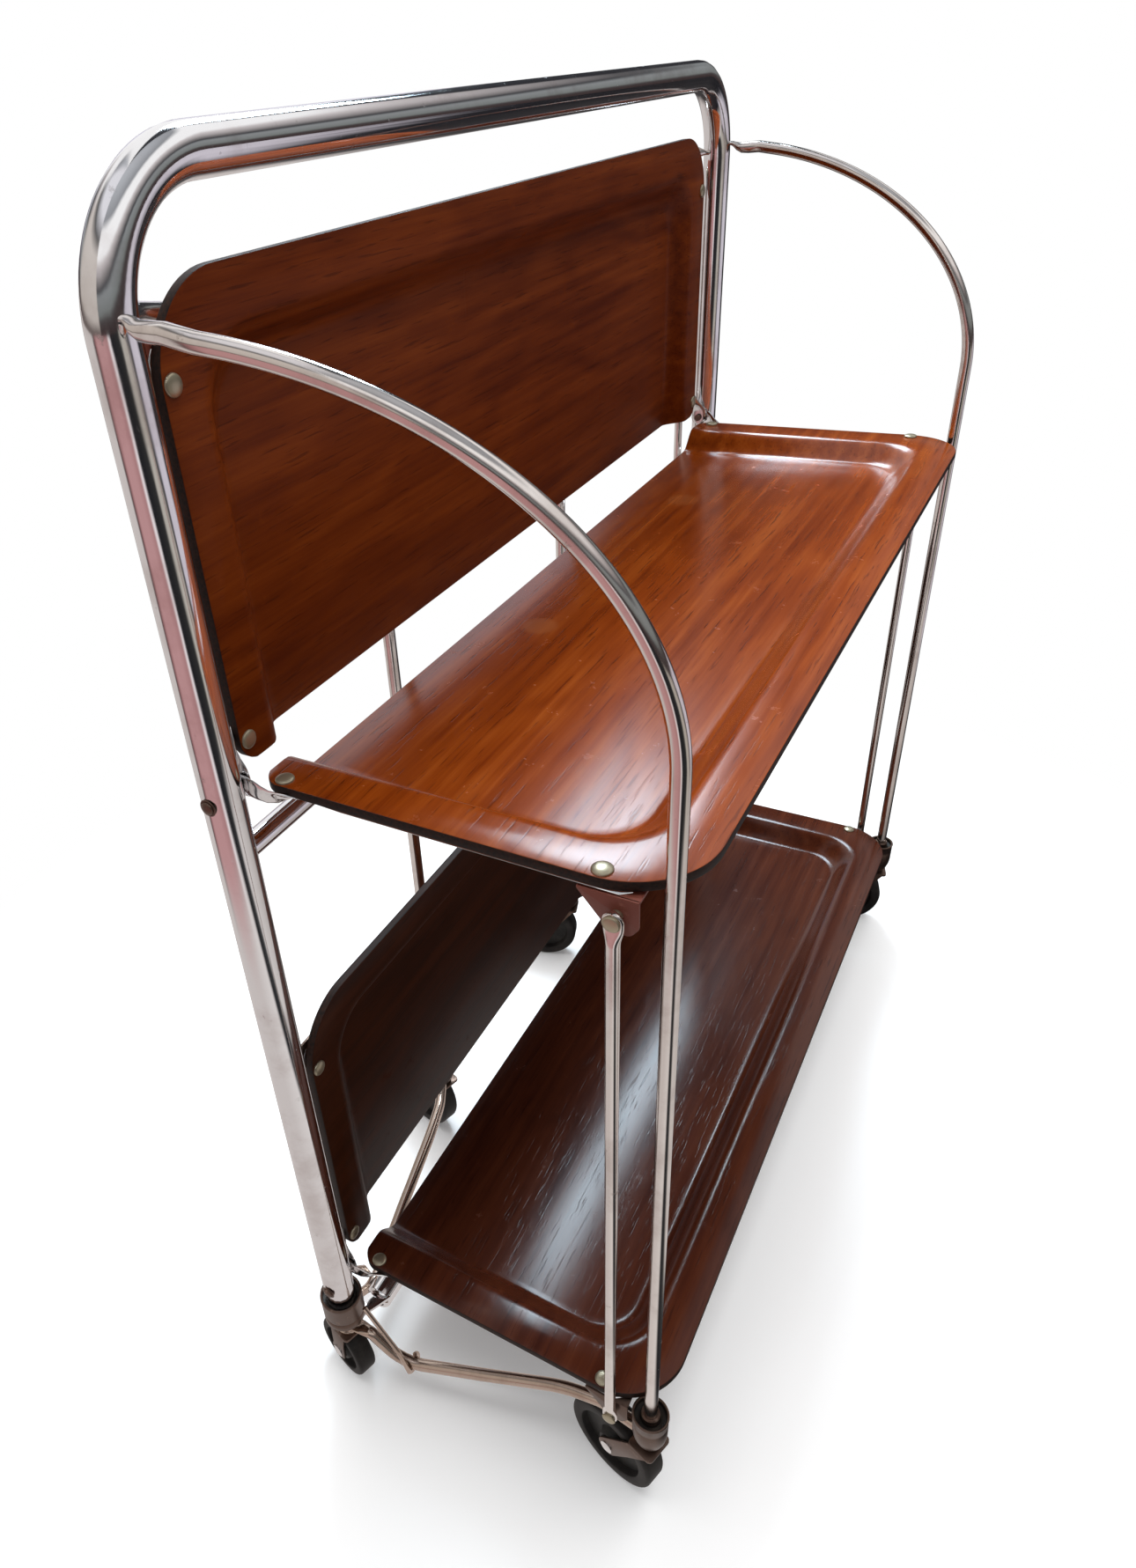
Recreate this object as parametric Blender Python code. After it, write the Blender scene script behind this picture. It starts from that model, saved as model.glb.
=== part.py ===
"""Folding bar cart: tube frame, two wings of two moulded trays, hinged bows on casters."""
import math

import bmesh
import bpy
from mathutils import Matrix, Vector

# ---- driving sizes, metres --------------------------------------------------
POST_HALF_SPACING = 0.326
FRAME_HEIGHT = 0.750
TUBE_RADIUS = 0.010
TUBE_WALL = 0.0015
HANDLE_BEND_RADIUS = 0.055
GAP = 0.0003
SHEET = 0.0015

TRAY_HALF_LENGTH = 0.306
TRAY_WIDTH = 0.214
TRAY_INNER_EDGE = 0.008
TRAY_CORNER_RADIUS = 0.040
TRAY_INNER_CORNER = 0.008
TRAY_EAR = 0.010
PLY = 0.005
LIP_WIDTH = 0.022
COVE_WIDTH = 0.020
DISH_DEPTH = 0.014
HINGE_ABOVE_RIM = 0.002
UPPER_RIM_HEIGHT = 0.486
LOWER_RIM_HEIGHT = 0.101

BOW_TUBE_RADIUS = 0.004
BOW_REACH = 0.208
BOW_TOP_HEIGHT = 0.691
BOW_ARC_DROP = 0.152
BOW_OPEN_ANGLE = math.radians(83.4)
BOW_FOLDED_ANGLE = math.radians(12.2)
BOW_CRANK_ALONG = 0.035
BOW_CRANK_OUT = 0.0195

UPPER_BAR_RADIUS = 0.006
UPPER_BAR_BELOW_HINGE = 0.035
LOWER_BAR_RADIUS = 0.009
LOWER_BAR_HEIGHT = 0.0545
LOWER_BAR_OFFSET = -0.010

BOW_WHEEL_RADIUS = 0.031
BOW_WHEEL_HALF_WIDTH = 0.008
BOW_WHEEL_TRAIL = 0.0245
FOOT_WHEEL_RADIUS = 0.022
FOOT_WHEEL_HALF_WIDTH = 0.007
FOOT_WHEEL_TRAIL = 0.005
TRAIL_ANGLE = math.radians(73.0)

# ---- stack of the foot, from the post down ----------------------------------
FOOT_CUP_RADIUS = 0.0138
FOOT_CUP_WALL = 0.0014
FOOT_CUP_RIM = 0.088
FOOT_CUP_FLOOR = 0.066
FOOT_CUP_SHOULDER = 0.0645
FOOT_CONE_RADIUS = 0.0062
FOOT_STEM_RADIUS = 0.004
FOOT_EYE_THICK = 0.0026
FOOT_EYE_RADIUS = 0.0078
FOOT_GAP = 0.0006
FOOT_TAB_THICK = 0.0025
FOOT_PLATE_THICK = 0.0024
FOOT_HEAD_THICK = 0.0018
FOOT_CONE_HEIGHT = 0.060
FOOT_TAB_TOP = FOOT_CONE_HEIGHT - GAP
FOOT_FRONT_EYE_TOP = FOOT_TAB_TOP - FOOT_TAB_THICK - 2 * FOOT_GAP
FOOT_BACK_EYE_TOP = FOOT_FRONT_EYE_TOP - FOOT_EYE_THICK - FOOT_GAP
FOOT_PLATE_TOP = FOOT_BACK_EYE_TOP - FOOT_EYE_THICK - FOOT_GAP
FOOT_HEAD_TOP = FOOT_PLATE_TOP - FOOT_PLATE_THICK - GAP
FOOT_TUBE_HEIGHT = FOOT_BACK_EYE_TOP + FOOT_GAP / 2
SPIGOT_TOP = 0.085

# ---- foot tube, drawn at the open angle: along the frame, out from it, height --
FOOT_TUBE_START = 0.0135
FOOT_TUBE_END_HEIGHT = 0.0690
FOOT_TUBE_POINTS = (
    (0.0010, FOOT_TUBE_START, FOOT_TUBE_HEIGHT),
    (0.0016, 0.0185, FOOT_TUBE_HEIGHT),
    (0.0035, 0.0345, 0.0335),
    (0.0055, 0.0480, 0.0345),
    (0.0150, 0.0950, 0.0480),
    (0.0265, 0.1500, 0.0655),
    (0.0285, 0.1750, 0.0685),
)
FOOT_TUBE_BENDS = (0.006, 0.010, 0.030, 0.060, 0.030, 0.020)

# ---- bow pivot inside the post ------------------------------------------------
SPOOL_PIN_RADIUS = 0.0025
SPOOL_DISC_THICK = 0.002
SPOOL_EYE_RADIUS = 0.006
SPOOL_EYE_THICK = 0.003
SPOOL_EYE_STEP = 0.0025
SLOT_CLEARANCE = 0.0004
SLOT_FROM = math.radians(4.0)
SLOT_TO = math.radians(127.0)
TONGUE_HALF_WIDTH = 0.00275

# ---- bow caster cup -----------------------------------------------------------
CUP_RADIUS = 0.0105
CUP_WALL = 0.0014
CUP_RIM = 0.0935
CUP_SHOULDER = 0.0740
CUP_FLOOR = 0.0760
CUP_CONE_RADIUS = 0.0055
CUP_BOTTOM = 0.0613
CUP_STEM_RADIUS = 0.0038
CUP_HEAD_RADIUS = 0.006
FORK_PLATE_THICK = 0.002
CUP_HEAD_THICK = 0.0022

# ---- hinge pins, arms, links ----------------------------------------------------
PIN_RADIUS = 0.0028
PIN_HEAD_RADIUS = 0.0048
PIN_HEAD_THICK = 0.0016
PIN_INNER_END = 0.3108
FRONT_EYE_AT = 0.314
BACK_EYE_AT = 0.3115
ARM_EYE_RADIUS = 0.0065
ARM_WEB_REACH = 0.034
ARM_FROM = 0.012
ARM_TO = 0.191
ARM_INNER = 0.292
ARM_OUTER = 0.304
ARM_FLANGE_FROM = 0.005
ARM_FLANGE_TO = 0.030
RIVET_RADIUS = 0.0047
RIVET_HEIGHT = 0.0012
RIVET_SHANK = 0.0020
RIVET_ACROSS = 0.3005
RIVET_NEAR = 0.0200
RIVET_FAR = 0.176
BRACKET_FROM = 0.160
BRACKET_TO = 0.192
BRACKET_OUTER = 0.3065
BRACKET_INNER = 0.293
BRACKET_DEPTH = 0.027
BRACKET_NOSE = 0.0055
LINK_PIN_ALONG = 0.182
LINK_PIN_BELOW = 0.0175
LINK_PIN_RADIUS = 0.0025
LINK_PIN_HEAD = 0.0040
LINK_PIN_HEAD_THICK = 0.0010
LINK_EYE_AT = 0.311
LINK_EYE_THICK = 0.003
LINK_EYE_RADIUS = 0.0056
LINK_ROD_RADIUS = 0.0032
WIRE_RADIUS = 0.0016
WIRE_HOOK_AT = 0.047

ROUND = 16
ROUND_WHEEL = 20
ROUND_SMALL = 10
ROUND_FINE = 8
CORNER_STEPS = 6
MERGE = 0.000001
EMBED = 0.0002
FLAT = math.radians(0.05)
SHARP_FROM = math.radians(40.0)

HINGE_UPPER = UPPER_RIM_HEIGHT + HINGE_ABOVE_RIM
HINGE_LOWER = LOWER_RIM_HEIGHT + HINGE_ABOVE_RIM
SIDES = (("left", -1), ("right", 1))
WINGS = (("front", -1, True), ("back", 1, False))
LEVELS = (("upper", HINGE_UPPER), ("lower", HINGE_LOWER))
UP = Vector((0.0, 0.0, 1.0))


# ---- materials -------------------------------------------------------------------
def material(name, colour, metallic, roughness):
    mat = bpy.data.materials.new(name)
    mat.use_nodes = True
    shader = mat.node_tree.nodes["Principled BSDF"]
    shader.inputs["Base Color"].default_value = (*colour, 1.0)
    shader.inputs["Metallic"].default_value = metallic
    shader.inputs["Roughness"].default_value = roughness
    mat.diffuse_color = (*colour, 1.0)
    return mat


# ---- mesh helpers ------------------------------------------------------------------
def close_mesh(bm):
    bmesh.ops.remove_doubles(bm, verts=bm.verts, dist=MERGE)
    bmesh.ops.recalc_face_normals(bm, faces=bm.faces)
    return bm


def rings_to_mesh(rings, closed=False):
    """Bridge rings of equal count; ends are capped unless the path is closed."""
    bm = bmesh.new()
    made = [[bm.verts.new(point) for point in ring] for ring in rings]
    count = len(made[0])
    pairs = list(zip(made, made[1:]))
    if closed:
        pairs.append((made[-1], made[0]))
    for first, second in pairs:
        for index in range(count):
            following = (index + 1) % count
            bm.faces.new((first[index], first[following], second[following], second[index]))
    if not closed:
        bm.faces.new(list(reversed(made[0])))
        bm.faces.new(made[-1])
    return close_mesh(bm)


def frames_along(path):
    """Unit tangents and a normal carried along the path without twist."""
    tangents = []
    for index in range(len(path)):
        before = path[max(index - 1, 0)]
        after = path[min(index + 1, len(path) - 1)]
        tangents.append((after - before).normalized())
    seed = UP if abs(tangents[0].dot(UP)) < 0.9 else Vector((0.0, 1.0, 0.0))
    normal = (seed - tangents[0] * seed.dot(tangents[0])).normalized()
    result = []
    for tangent in tangents:
        normal = (normal - tangent * normal.dot(tangent)).normalized()
        result.append((tangent, normal, tangent.cross(normal)))
    return result


def ring(centre, normal, binormal, radius, sides):
    points = []
    for index in range(sides):
        angle = math.tau * index / sides
        points.append(centre + normal * (radius * math.cos(angle))
                      + binormal * (radius * math.sin(angle)))
    return points


def tube_mesh(path, radius, sides, bore=None):
    path = [Vector(point) for point in path]
    frames = frames_along(path)
    outer = [ring(c, n, b, radius, sides) for c, (_, n, b) in zip(path, frames)]
    if bore is None:
        return rings_to_mesh(outer)
    inner = [ring(c, n, b, bore, sides) for c, (_, n, b) in zip(path, frames)]
    return rings_to_mesh(outer + list(reversed(inner)), closed=True)


def rod_mesh(start, end, radius, sides):
    return tube_mesh([start, end], radius, sides)


def lathe_mesh(profile, centre, axis, sides):
    """Turn (radius, along) pairs about an axis through the centre."""
    axis = Vector(axis).normalized()
    seed = UP if abs(axis.dot(UP)) < 0.9 else Vector((1.0, 0.0, 0.0))
    normal = (seed - axis * seed.dot(axis)).normalized()
    binormal = axis.cross(normal)
    centre = Vector(centre)
    closed = min(radius for radius, _ in profile) > GAP
    bm = bmesh.new()
    loops = []
    for radius, along in profile:
        spot = centre + axis * along
        if radius <= GAP:
            loops.append([bm.verts.new(spot)])
        else:
            loops.append([bm.verts.new(p) for p in ring(spot, normal, binormal, radius, sides)])
    pairs = list(zip(loops, loops[1:]))
    if closed:
        pairs.append((loops[-1], loops[0]))
    for first, second in pairs:
        for index in range(sides):
            following = (index + 1) % sides
            if len(first) == 1:
                bm.faces.new((first[0], second[following], second[index]))
            elif len(second) == 1:
                bm.faces.new((first[index], first[following], second[0]))
            else:
                bm.faces.new((first[index], first[following], second[following], second[index]))
    return close_mesh(bm)


def plate_mesh(outline, low, high, place):
    """Extrude a flat outline between two levels; place maps (p, q, level) to space."""
    bottom = [Vector(place(p, q, low)) for p, q in outline]
    top = [Vector(place(p, q, high)) for p, q in outline]
    return rings_to_mesh([bottom, top])


def eye_plate_mesh(outline, hole, low, high, place):
    """Extrude an outline that surrounds the origin, with a round hole at the origin."""
    def round_hole(p, q):
        length = math.hypot(p, q)
        return p / length * hole, q / length * hole

    inner = [round_hole(p, q) for p, q in outline]
    loops = []
    for points, level in ((outline, low), (outline, high), (inner, high), (inner, low)):
        loops.append([Vector(place(p, q, level)) for p, q in points])
    return rings_to_mesh(loops, closed=True)


def tongue_outline(radius, half_width, reach):
    """Round eye with a straight tongue along +p."""
    start = math.asin(half_width / radius)
    points = [(reach, -half_width), (reach, half_width)]
    for index in range(ROUND_SMALL + 1):
        angle = start + (math.tau - 2 * start) * index / ROUND_SMALL
        points.append((radius * math.cos(angle), radius * math.sin(angle)))
    return points


def taper_outline(radius, reach):
    """Round eye whose sides run straight to a blunt nose along +p."""
    start = math.acos(radius / reach)
    blunt = math.radians(1.5)
    angles = [blunt, start / 4, start / 2, start * 3 / 4]
    angles += [start + (math.pi - start) * step / 5 for step in range(5)]
    points = []
    for angle in angles + [math.pi] + [-angle for angle in reversed(angles)]:
        away = radius / math.cos(max(start - abs(angle), 0.0))
        points.append((away * math.cos(angle), away * math.sin(angle)))
    return points


def box_outline(back, front, half):
    """Rectangle round the origin, sampled by angle so that a hole inside it is round."""
    corners = [math.atan2(q, p) % math.tau for p in (back, front) for q in (-half, half)]
    evenly = [math.tau * step / ROUND_SMALL for step in range(ROUND_SMALL)]
    points = []
    for angle in sorted(corners + evenly):
        along = math.cos(angle)
        across = math.sin(angle)
        limits = [half / abs(across)] if abs(across) > MERGE else []
        if abs(along) > MERGE:
            limits.append((front if along > 0 else -back) / abs(along))
        points.append((along * min(limits), across * min(limits)))
    return points


def fillet(points, radii, steps):
    """Round the inner corners of a polyline."""
    points = [Vector(point) for point in points]
    path = [points[0]]
    for index in range(1, len(points) - 1):
        corner = points[index]
        back = points[index - 1] - corner
        ahead = points[index + 1] - corner
        radius = radii[index - 1]
        angle = back.angle(ahead)
        cut = radius / math.tan(angle / 2)
        cut = min(cut, 0.49 * back.length, 0.49 * ahead.length)
        radius = cut * math.tan(angle / 2)
        back.normalize()
        ahead.normalize()
        bisector = (back + ahead).normalized()
        centre = corner + bisector * (radius / math.sin(angle / 2))
        first = corner + back * cut - centre
        last = corner + ahead * cut - centre
        sweep = first.angle(last)
        for step in range(steps + 1):
            share = step / steps
            spin = (first * math.sin((1 - share) * sweep) + last * math.sin(share * sweep))
            path.append(centre + spin / math.sin(sweep))
    path.append(points[-1])
    return path


def temporary(meshes):
    """Helper object that holds one or more closed bodies."""
    whole = bmesh.new()
    for bm in meshes:
        bmesh.ops.triangulate(bm, faces=bm.faces)
        mesh = bpy.data.meshes.new("body")
        bm.to_mesh(mesh)
        bm.free()
        whole.from_mesh(mesh)
        bpy.data.meshes.remove(mesh)
    mesh = bpy.data.meshes.new("helper")
    whole.to_mesh(mesh)
    whole.free()
    obj = bpy.data.objects.new("helper", mesh)
    bpy.context.scene.collection.objects.link(obj)
    obj.hide_render = True
    obj.display_type = "WIRE"
    return obj


def cut_or_join(base, tools, operation):
    """One exact Boolean of a base body with all the tool bodies."""
    target = temporary([base])
    helper = temporary(tools)
    modifier = target.modifiers.new("shape", "BOOLEAN")
    modifier.operation = operation
    modifier.solver = "EXACT"
    modifier.use_self = True
    modifier.object = helper
    bpy.context.view_layer.update()
    graph = bpy.context.evaluated_depsgraph_get()
    mesh = bpy.data.meshes.new_from_object(target.evaluated_get(graph))
    result = bmesh.new()
    result.from_mesh(mesh)
    bpy.data.meshes.remove(mesh)
    bmesh.ops.dissolve_limit(result, angle_limit=FLAT, verts=result.verts, edges=result.edges)
    for obj in (target, helper):
        data = obj.data
        bpy.data.objects.remove(obj)
        bpy.data.meshes.remove(data)
    return close_mesh(result)


def add(name, bm, mat, origin, root):
    origin = Vector(origin)
    bmesh.ops.translate(bm, verts=bm.verts, vec=-origin)
    mesh = bpy.data.meshes.new(name)
    bm.to_mesh(mesh)
    bm.free()
    mesh.materials.append(mat)
    mesh.shade_smooth()
    mesh.set_sharp_from_angle(angle=SHARP_FROM)
    obj = bpy.data.objects.new(name, mesh)
    obj.location = origin
    obj.parent = root
    bpy.context.scene.collection.objects.link(obj)
    return obj


# ---- frame --------------------------------------------------------------------------
def main_frame():
    top = FRAME_HEIGHT - TUBE_RADIUS
    low = FOOT_CUP_FLOOR + GAP
    corners = [(-POST_HALF_SPACING, 0, low), (-POST_HALF_SPACING, 0, top),
               (POST_HALF_SPACING, 0, top), (POST_HALF_SPACING, 0, low)]
    path = fillet(corners, [HANDLE_BEND_RADIUS] * 2, ROUND_FINE)
    tube = tube_mesh(path, TUBE_RADIUS, ROUND, TUBE_RADIUS - TUBE_WALL)
    cutters = []
    for _, side in SIDES:
        for _, hinge in LEVELS:
            inner = side * (POST_HALF_SPACING - 2 * TUBE_RADIUS)
            outer = side * (POST_HALF_SPACING + 2 * TUBE_RADIUS)
            cutters.append(rod_mesh((inner, 0, hinge), (outer, 0, hinge),
                                    PIN_RADIUS + GAP, ROUND_SMALL))
        for _, wing, _ in WINGS:
            cutters.append(slot_cutter(side, wing))
    opened = cut_or_join(tube, cutters, "DIFFERENCE")
    return cut_or_join(opened, [*pivot_spools(), upper_crossbar()], "UNION")


def eye_height(wing):
    return BOW_TOP_HEIGHT - wing * SPOOL_EYE_STEP


def slot_cutter(side, wing):
    """Sector through the post wall, in which the tongue of one bow swings."""
    inner = TUBE_RADIUS - 2 * TUBE_WALL
    outer = TUBE_RADIUS + 2 * TUBE_WALL
    angles = [SLOT_FROM + (SLOT_TO - SLOT_FROM) * step / ROUND_FINE
              for step in range(ROUND_FINE + 1)]
    outline = [(outer * math.cos(a), outer * math.sin(a)) for a in angles]
    outline += [(inner * math.cos(a), inner * math.sin(a)) for a in reversed(angles)]
    half = SPOOL_EYE_THICK / 2 + SLOT_CLEARANCE
    height = eye_height(wing)

    def place(p, q, level):
        return side * (POST_HALF_SPACING - p), wing * q, level

    return plate_mesh(outline, height - half, height + half, place)


def foot_cup(side):
    inner = FOOT_CUP_RADIUS - FOOT_CUP_WALL
    spigot = TUBE_RADIUS - TUBE_WALL - GAP
    head_low = FOOT_HEAD_TOP - FOOT_HEAD_THICK
    profile = [(0, head_low), (FOOT_CONE_RADIUS, head_low), (FOOT_CONE_RADIUS, FOOT_HEAD_TOP),
               (FOOT_STEM_RADIUS, FOOT_HEAD_TOP), (FOOT_STEM_RADIUS, FOOT_CONE_HEIGHT),
               (FOOT_CONE_RADIUS, FOOT_CONE_HEIGHT), (FOOT_CUP_RADIUS, FOOT_CUP_SHOULDER),
               (FOOT_CUP_RADIUS, FOOT_CUP_RIM), (inner, FOOT_CUP_RIM), (inner, FOOT_CUP_FLOOR),
               (spigot, FOOT_CUP_FLOOR), (spigot, SPIGOT_TOP), (0, SPIGOT_TOP)]
    return lathe_mesh(profile, (side * POST_HALF_SPACING, 0, 0), UP, ROUND)


def upper_crossbar():
    """Thin bar, welded between the posts."""
    height = HINGE_UPPER - UPPER_BAR_BELOW_HINGE
    end = POST_HALF_SPACING - TUBE_RADIUS + TUBE_WALL / 2
    return rod_mesh((-end, 0, height), (end, 0, height), UPPER_BAR_RADIUS, ROUND)


def lower_crossbar():
    """Round bar with domed ends; a flat tab at each end sits on the stem of the foot."""
    end = POST_HALF_SPACING - 2 * TUBE_RADIUS
    dome = LOWER_BAR_RADIUS / 2
    profile = [(0, -end), (0.7 * LOWER_BAR_RADIUS, dome / 3 - end),
               (LOWER_BAR_RADIUS, dome - end), (LOWER_BAR_RADIUS, end - dome),
               (0.7 * LOWER_BAR_RADIUS, end - dome / 3), (0, end)]
    centre = (0, LOWER_BAR_OFFSET, LOWER_BAR_HEIGHT)
    bar = lathe_mesh(profile, centre, (1, 0, 0), ROUND)
    reach = math.hypot(POST_HALF_SPACING - end + LOWER_BAR_RADIUS, LOWER_BAR_OFFSET)
    turn = math.atan2(-LOWER_BAR_OFFSET, POST_HALF_SPACING - end + LOWER_BAR_RADIUS)
    tabs = []
    for _, side in SIDES:
        def place(p, q, level, side=side):
            along = p * math.cos(turn) - q * math.sin(turn)
            across = p * math.sin(turn) + q * math.cos(turn)
            return side * (POST_HALF_SPACING - along), -across, level

        outline = tongue_outline(FOOT_EYE_RADIUS, FOOT_CONE_RADIUS, reach)
        tabs.append(eye_plate_mesh(outline, FOOT_STEM_RADIUS + GAP,
                                   FOOT_TAB_TOP - FOOT_TAB_THICK, FOOT_TAB_TOP, place))
    return cut_or_join(bar, tabs, "UNION")


def hinge_pin(side, hinge):
    head = POST_HALF_SPACING + TUBE_RADIUS + GAP
    profile = [(0, PIN_INNER_END), (PIN_RADIUS, PIN_INNER_END), (PIN_RADIUS, head),
               (PIN_HEAD_RADIUS, head), (PIN_HEAD_RADIUS, head + PIN_HEAD_THICK / 2),
               (PIN_HEAD_RADIUS / 2, head + PIN_HEAD_THICK), (0, head + PIN_HEAD_THICK)]
    return lathe_mesh(profile, (0, 0, hinge), (side, 0, 0), ROUND_SMALL)


def pivot_spools():
    """Pins fixed inside the posts, one for the upper eyes of the two bows of a post."""
    disc = TUBE_RADIUS - TUBE_WALL / 2
    reach = SPOOL_EYE_STEP + SPOOL_EYE_THICK / 2 + SLOT_CLEARANCE
    profile = [(0, -reach - SPOOL_DISC_THICK), (disc, -reach - SPOOL_DISC_THICK),
               (disc, -reach), (SPOOL_PIN_RADIUS, -reach), (SPOOL_PIN_RADIUS, reach),
               (disc, reach), (disc, reach + SPOOL_DISC_THICK), (0, reach + SPOOL_DISC_THICK)]
    return [lathe_mesh(profile, (side * POST_HALF_SPACING, 0, BOW_TOP_HEIGHT), UP,
                       ROUND_SMALL) for _, side in SIDES]


# ---- trays ----------------------------------------------------------------------------
def wing_place(wing, is_open, hinge):
    """Map (x, distance from hinge, height above hinge) of a wing to space."""
    def place(x, out, lift):
        if is_open:
            return x, wing * out, hinge + lift
        return x, -wing * lift, hinge + out
    return place


def tray_outline(inset):
    """Half turn round the tray at one inset, from one hinge corner to the other."""
    radius = max(TRAY_CORNER_RADIUS - inset, TRAY_INNER_CORNER)
    half = TRAY_HALF_LENGTH - inset
    front = TRAY_WIDTH - inset
    ear = TRAY_EAR if inset == 0 else 0.0
    points = [(half - ear, TRAY_INNER_EDGE), (half, TRAY_INNER_EDGE + TRAY_EAR)]
    for step in range(CORNER_STEPS):
        angle = math.pi / 2 * step / (CORNER_STEPS - 1)
        points.append((half - radius + radius * math.cos(angle),
                       front - radius + radius * math.sin(angle)))
    return points + [(-x, y) for x, y in reversed(points)]


def tray_mesh(place):
    """Moulded sheet: flat lip, cove, flat floor, open at the hinge side."""
    stations = [(0.0, 0.0), (LIP_WIDTH, 0.0)]
    steps = 4
    for step in range(1, steps + 1):
        share = step / steps
        drop = (1 - math.cos(math.pi * share)) / 2
        stations.append((LIP_WIDTH + COVE_WIDTH * share, -DISH_DEPTH * drop))
    bm = bmesh.new()
    surfaces = []
    for offset in (-HINGE_ABOVE_RIM, -HINGE_ABOVE_RIM - PLY):
        rows = []
        for inset, drop in stations:
            rows.append([bm.verts.new(place(x, y, offset + drop)) for x, y in tray_outline(inset)])
        surfaces.append(rows)
    for rows in surfaces:
        for first, second in zip(rows, rows[1:]):
            for index in range(len(first) - 1):
                bm.faces.new((first[index], first[index + 1], second[index + 1], second[index]))
        bm.faces.new(rows[-1])
    top, bottom = surfaces
    for index in range(len(top[0]) - 1):
        bm.faces.new((top[0][index], top[0][index + 1], bottom[0][index + 1], bottom[0][index]))
    for column in (0, -1):
        for row in range(len(stations) - 1):
            bm.faces.new((top[row][column], top[row + 1][column],
                          bottom[row + 1][column], bottom[row][column]))
    bm.faces.new((top[-1][0], top[-1][-1], bottom[-1][-1], bottom[-1][0]))
    holes = []
    for _, side in SIDES:
        for out in (RIVET_NEAR, RIVET_FAR):
            holes.append(rod_mesh(place(side * RIVET_ACROSS, out, PLY),
                                  place(side * RIVET_ACROSS, out, -2 * PLY),
                                  RIVET_SHANK + GAP, ROUND_FINE))
    return cut_or_join(close_mesh(bm), holes, "DIFFERENCE")


def tray_arm(place, side, wing):
    """Flat strip under the end lip, an upright web with the hinge eye, two domed rivets."""
    top = -HINGE_ABOVE_RIM - PLY - GAP
    web = FRONT_EYE_AT if wing < 0 else BACK_EYE_AT
    strip = [(ARM_INNER, ARM_FROM), (web + SHEET, ARM_FLANGE_FROM), (web + SHEET, ARM_FLANGE_TO),
             (ARM_OUTER, ARM_FLANGE_TO + ARM_FROM), (ARM_OUTER, ARM_TO), (ARM_INNER, ARM_TO)]

    def flat(p, q, level):
        return place(side * p, q, level)

    def upright(p, q, level):
        return place(side * level, p, q)

    flange = plate_mesh(strip, top - SHEET, top, flat)
    outline = taper_outline(ARM_EYE_RADIUS, ARM_WEB_REACH)
    web_plate = eye_plate_mesh(outline, PIN_RADIUS + GAP, web, web + SHEET, upright)
    near = ARM_FLANGE_FROM + EMBED
    far = ARM_FLANGE_TO - EMBED
    rib = plate_mesh([(near, 0), (far / 2, 0), (far, top - SHEET / 2), (near, top - SHEET / 2)],
                     web + EMBED, web + SHEET - EMBED, upright)
    rivets = [tray_rivet(place, side, out) for out in (RIVET_NEAR, RIVET_FAR)]
    return cut_or_join(flange, [rib, web_plate, *rivets], "UNION")


def tray_rivet(place, side, out):
    """Shank from the arm through the lip, and a domed head above it."""
    foot = -HINGE_ABOVE_RIM - PLY - GAP - SHEET / 2
    seat = GAP - HINGE_ABOVE_RIM
    dome = [(RIVET_SHANK, foot), (RIVET_SHANK, seat), (RIVET_RADIUS, seat),
            (0.85 * RIVET_RADIUS, seat + 0.6 * RIVET_HEIGHT), (0.4 * RIVET_RADIUS, seat + RIVET_HEIGHT)]
    rings = []
    for radius, level in dome:
        points = []
        for index in range(ROUND_FINE):
            angle = math.tau * index / ROUND_FINE
            points.append(Vector(place(side * RIVET_ACROSS + radius * math.cos(angle),
                                       out + radius * math.sin(angle), level)))
        rings.append(points)
    return rings_to_mesh(rings)


def link_bracket(place, side):
    """Flange under the arm, rounded triangular web, pin for the link rod."""
    top = -HINGE_ABOVE_RIM - PLY - SHEET - 2 * GAP
    flange = [(BRACKET_INNER, BRACKET_FROM), (BRACKET_OUTER, BRACKET_FROM),
              (BRACKET_OUTER, BRACKET_TO), (BRACKET_INNER, BRACKET_TO)]

    def flat(p, q, level):
        return place(side * p, q, level)

    def upright(p, q, level):
        return place(side * level, p, q)

    web = [(BRACKET_TO - EMBED, top - SHEET / 2), (BRACKET_FROM + EMBED, top - SHEET / 2)]
    centre = -BRACKET_DEPTH + BRACKET_NOSE
    for step in range(CORNER_STEPS):
        angle = math.pi * (1.15 + 0.75 * step / (CORNER_STEPS - 1))
        web.append((LINK_PIN_ALONG + BRACKET_NOSE * math.cos(angle),
                    centre + BRACKET_NOSE * math.sin(angle)))
    web_plate = plate_mesh(web, BRACKET_OUTER - SHEET, BRACKET_OUTER - EMBED, upright)
    head = LINK_EYE_AT + LINK_EYE_THICK / 2 + GAP
    profile = [(0, BRACKET_OUTER - SHEET / 2), (LINK_PIN_RADIUS, BRACKET_OUTER - SHEET / 2),
               (LINK_PIN_RADIUS, head), (LINK_PIN_HEAD, head),
               (LINK_PIN_HEAD, head + LINK_PIN_HEAD_THICK), (0, head + LINK_PIN_HEAD_THICK)]
    spot = place(0, LINK_PIN_ALONG, -LINK_PIN_BELOW)
    pin = lathe_mesh(profile, spot, (side, 0, 0), ROUND_FINE)
    return cut_or_join(plate_mesh(flange, top - SHEET, top, flat), [web_plate, pin], "UNION")


def link_pin(wing, is_open, hinge):
    return wing_place(wing, is_open, hinge)(0, LINK_PIN_ALONG, -LINK_PIN_BELOW)


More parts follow.
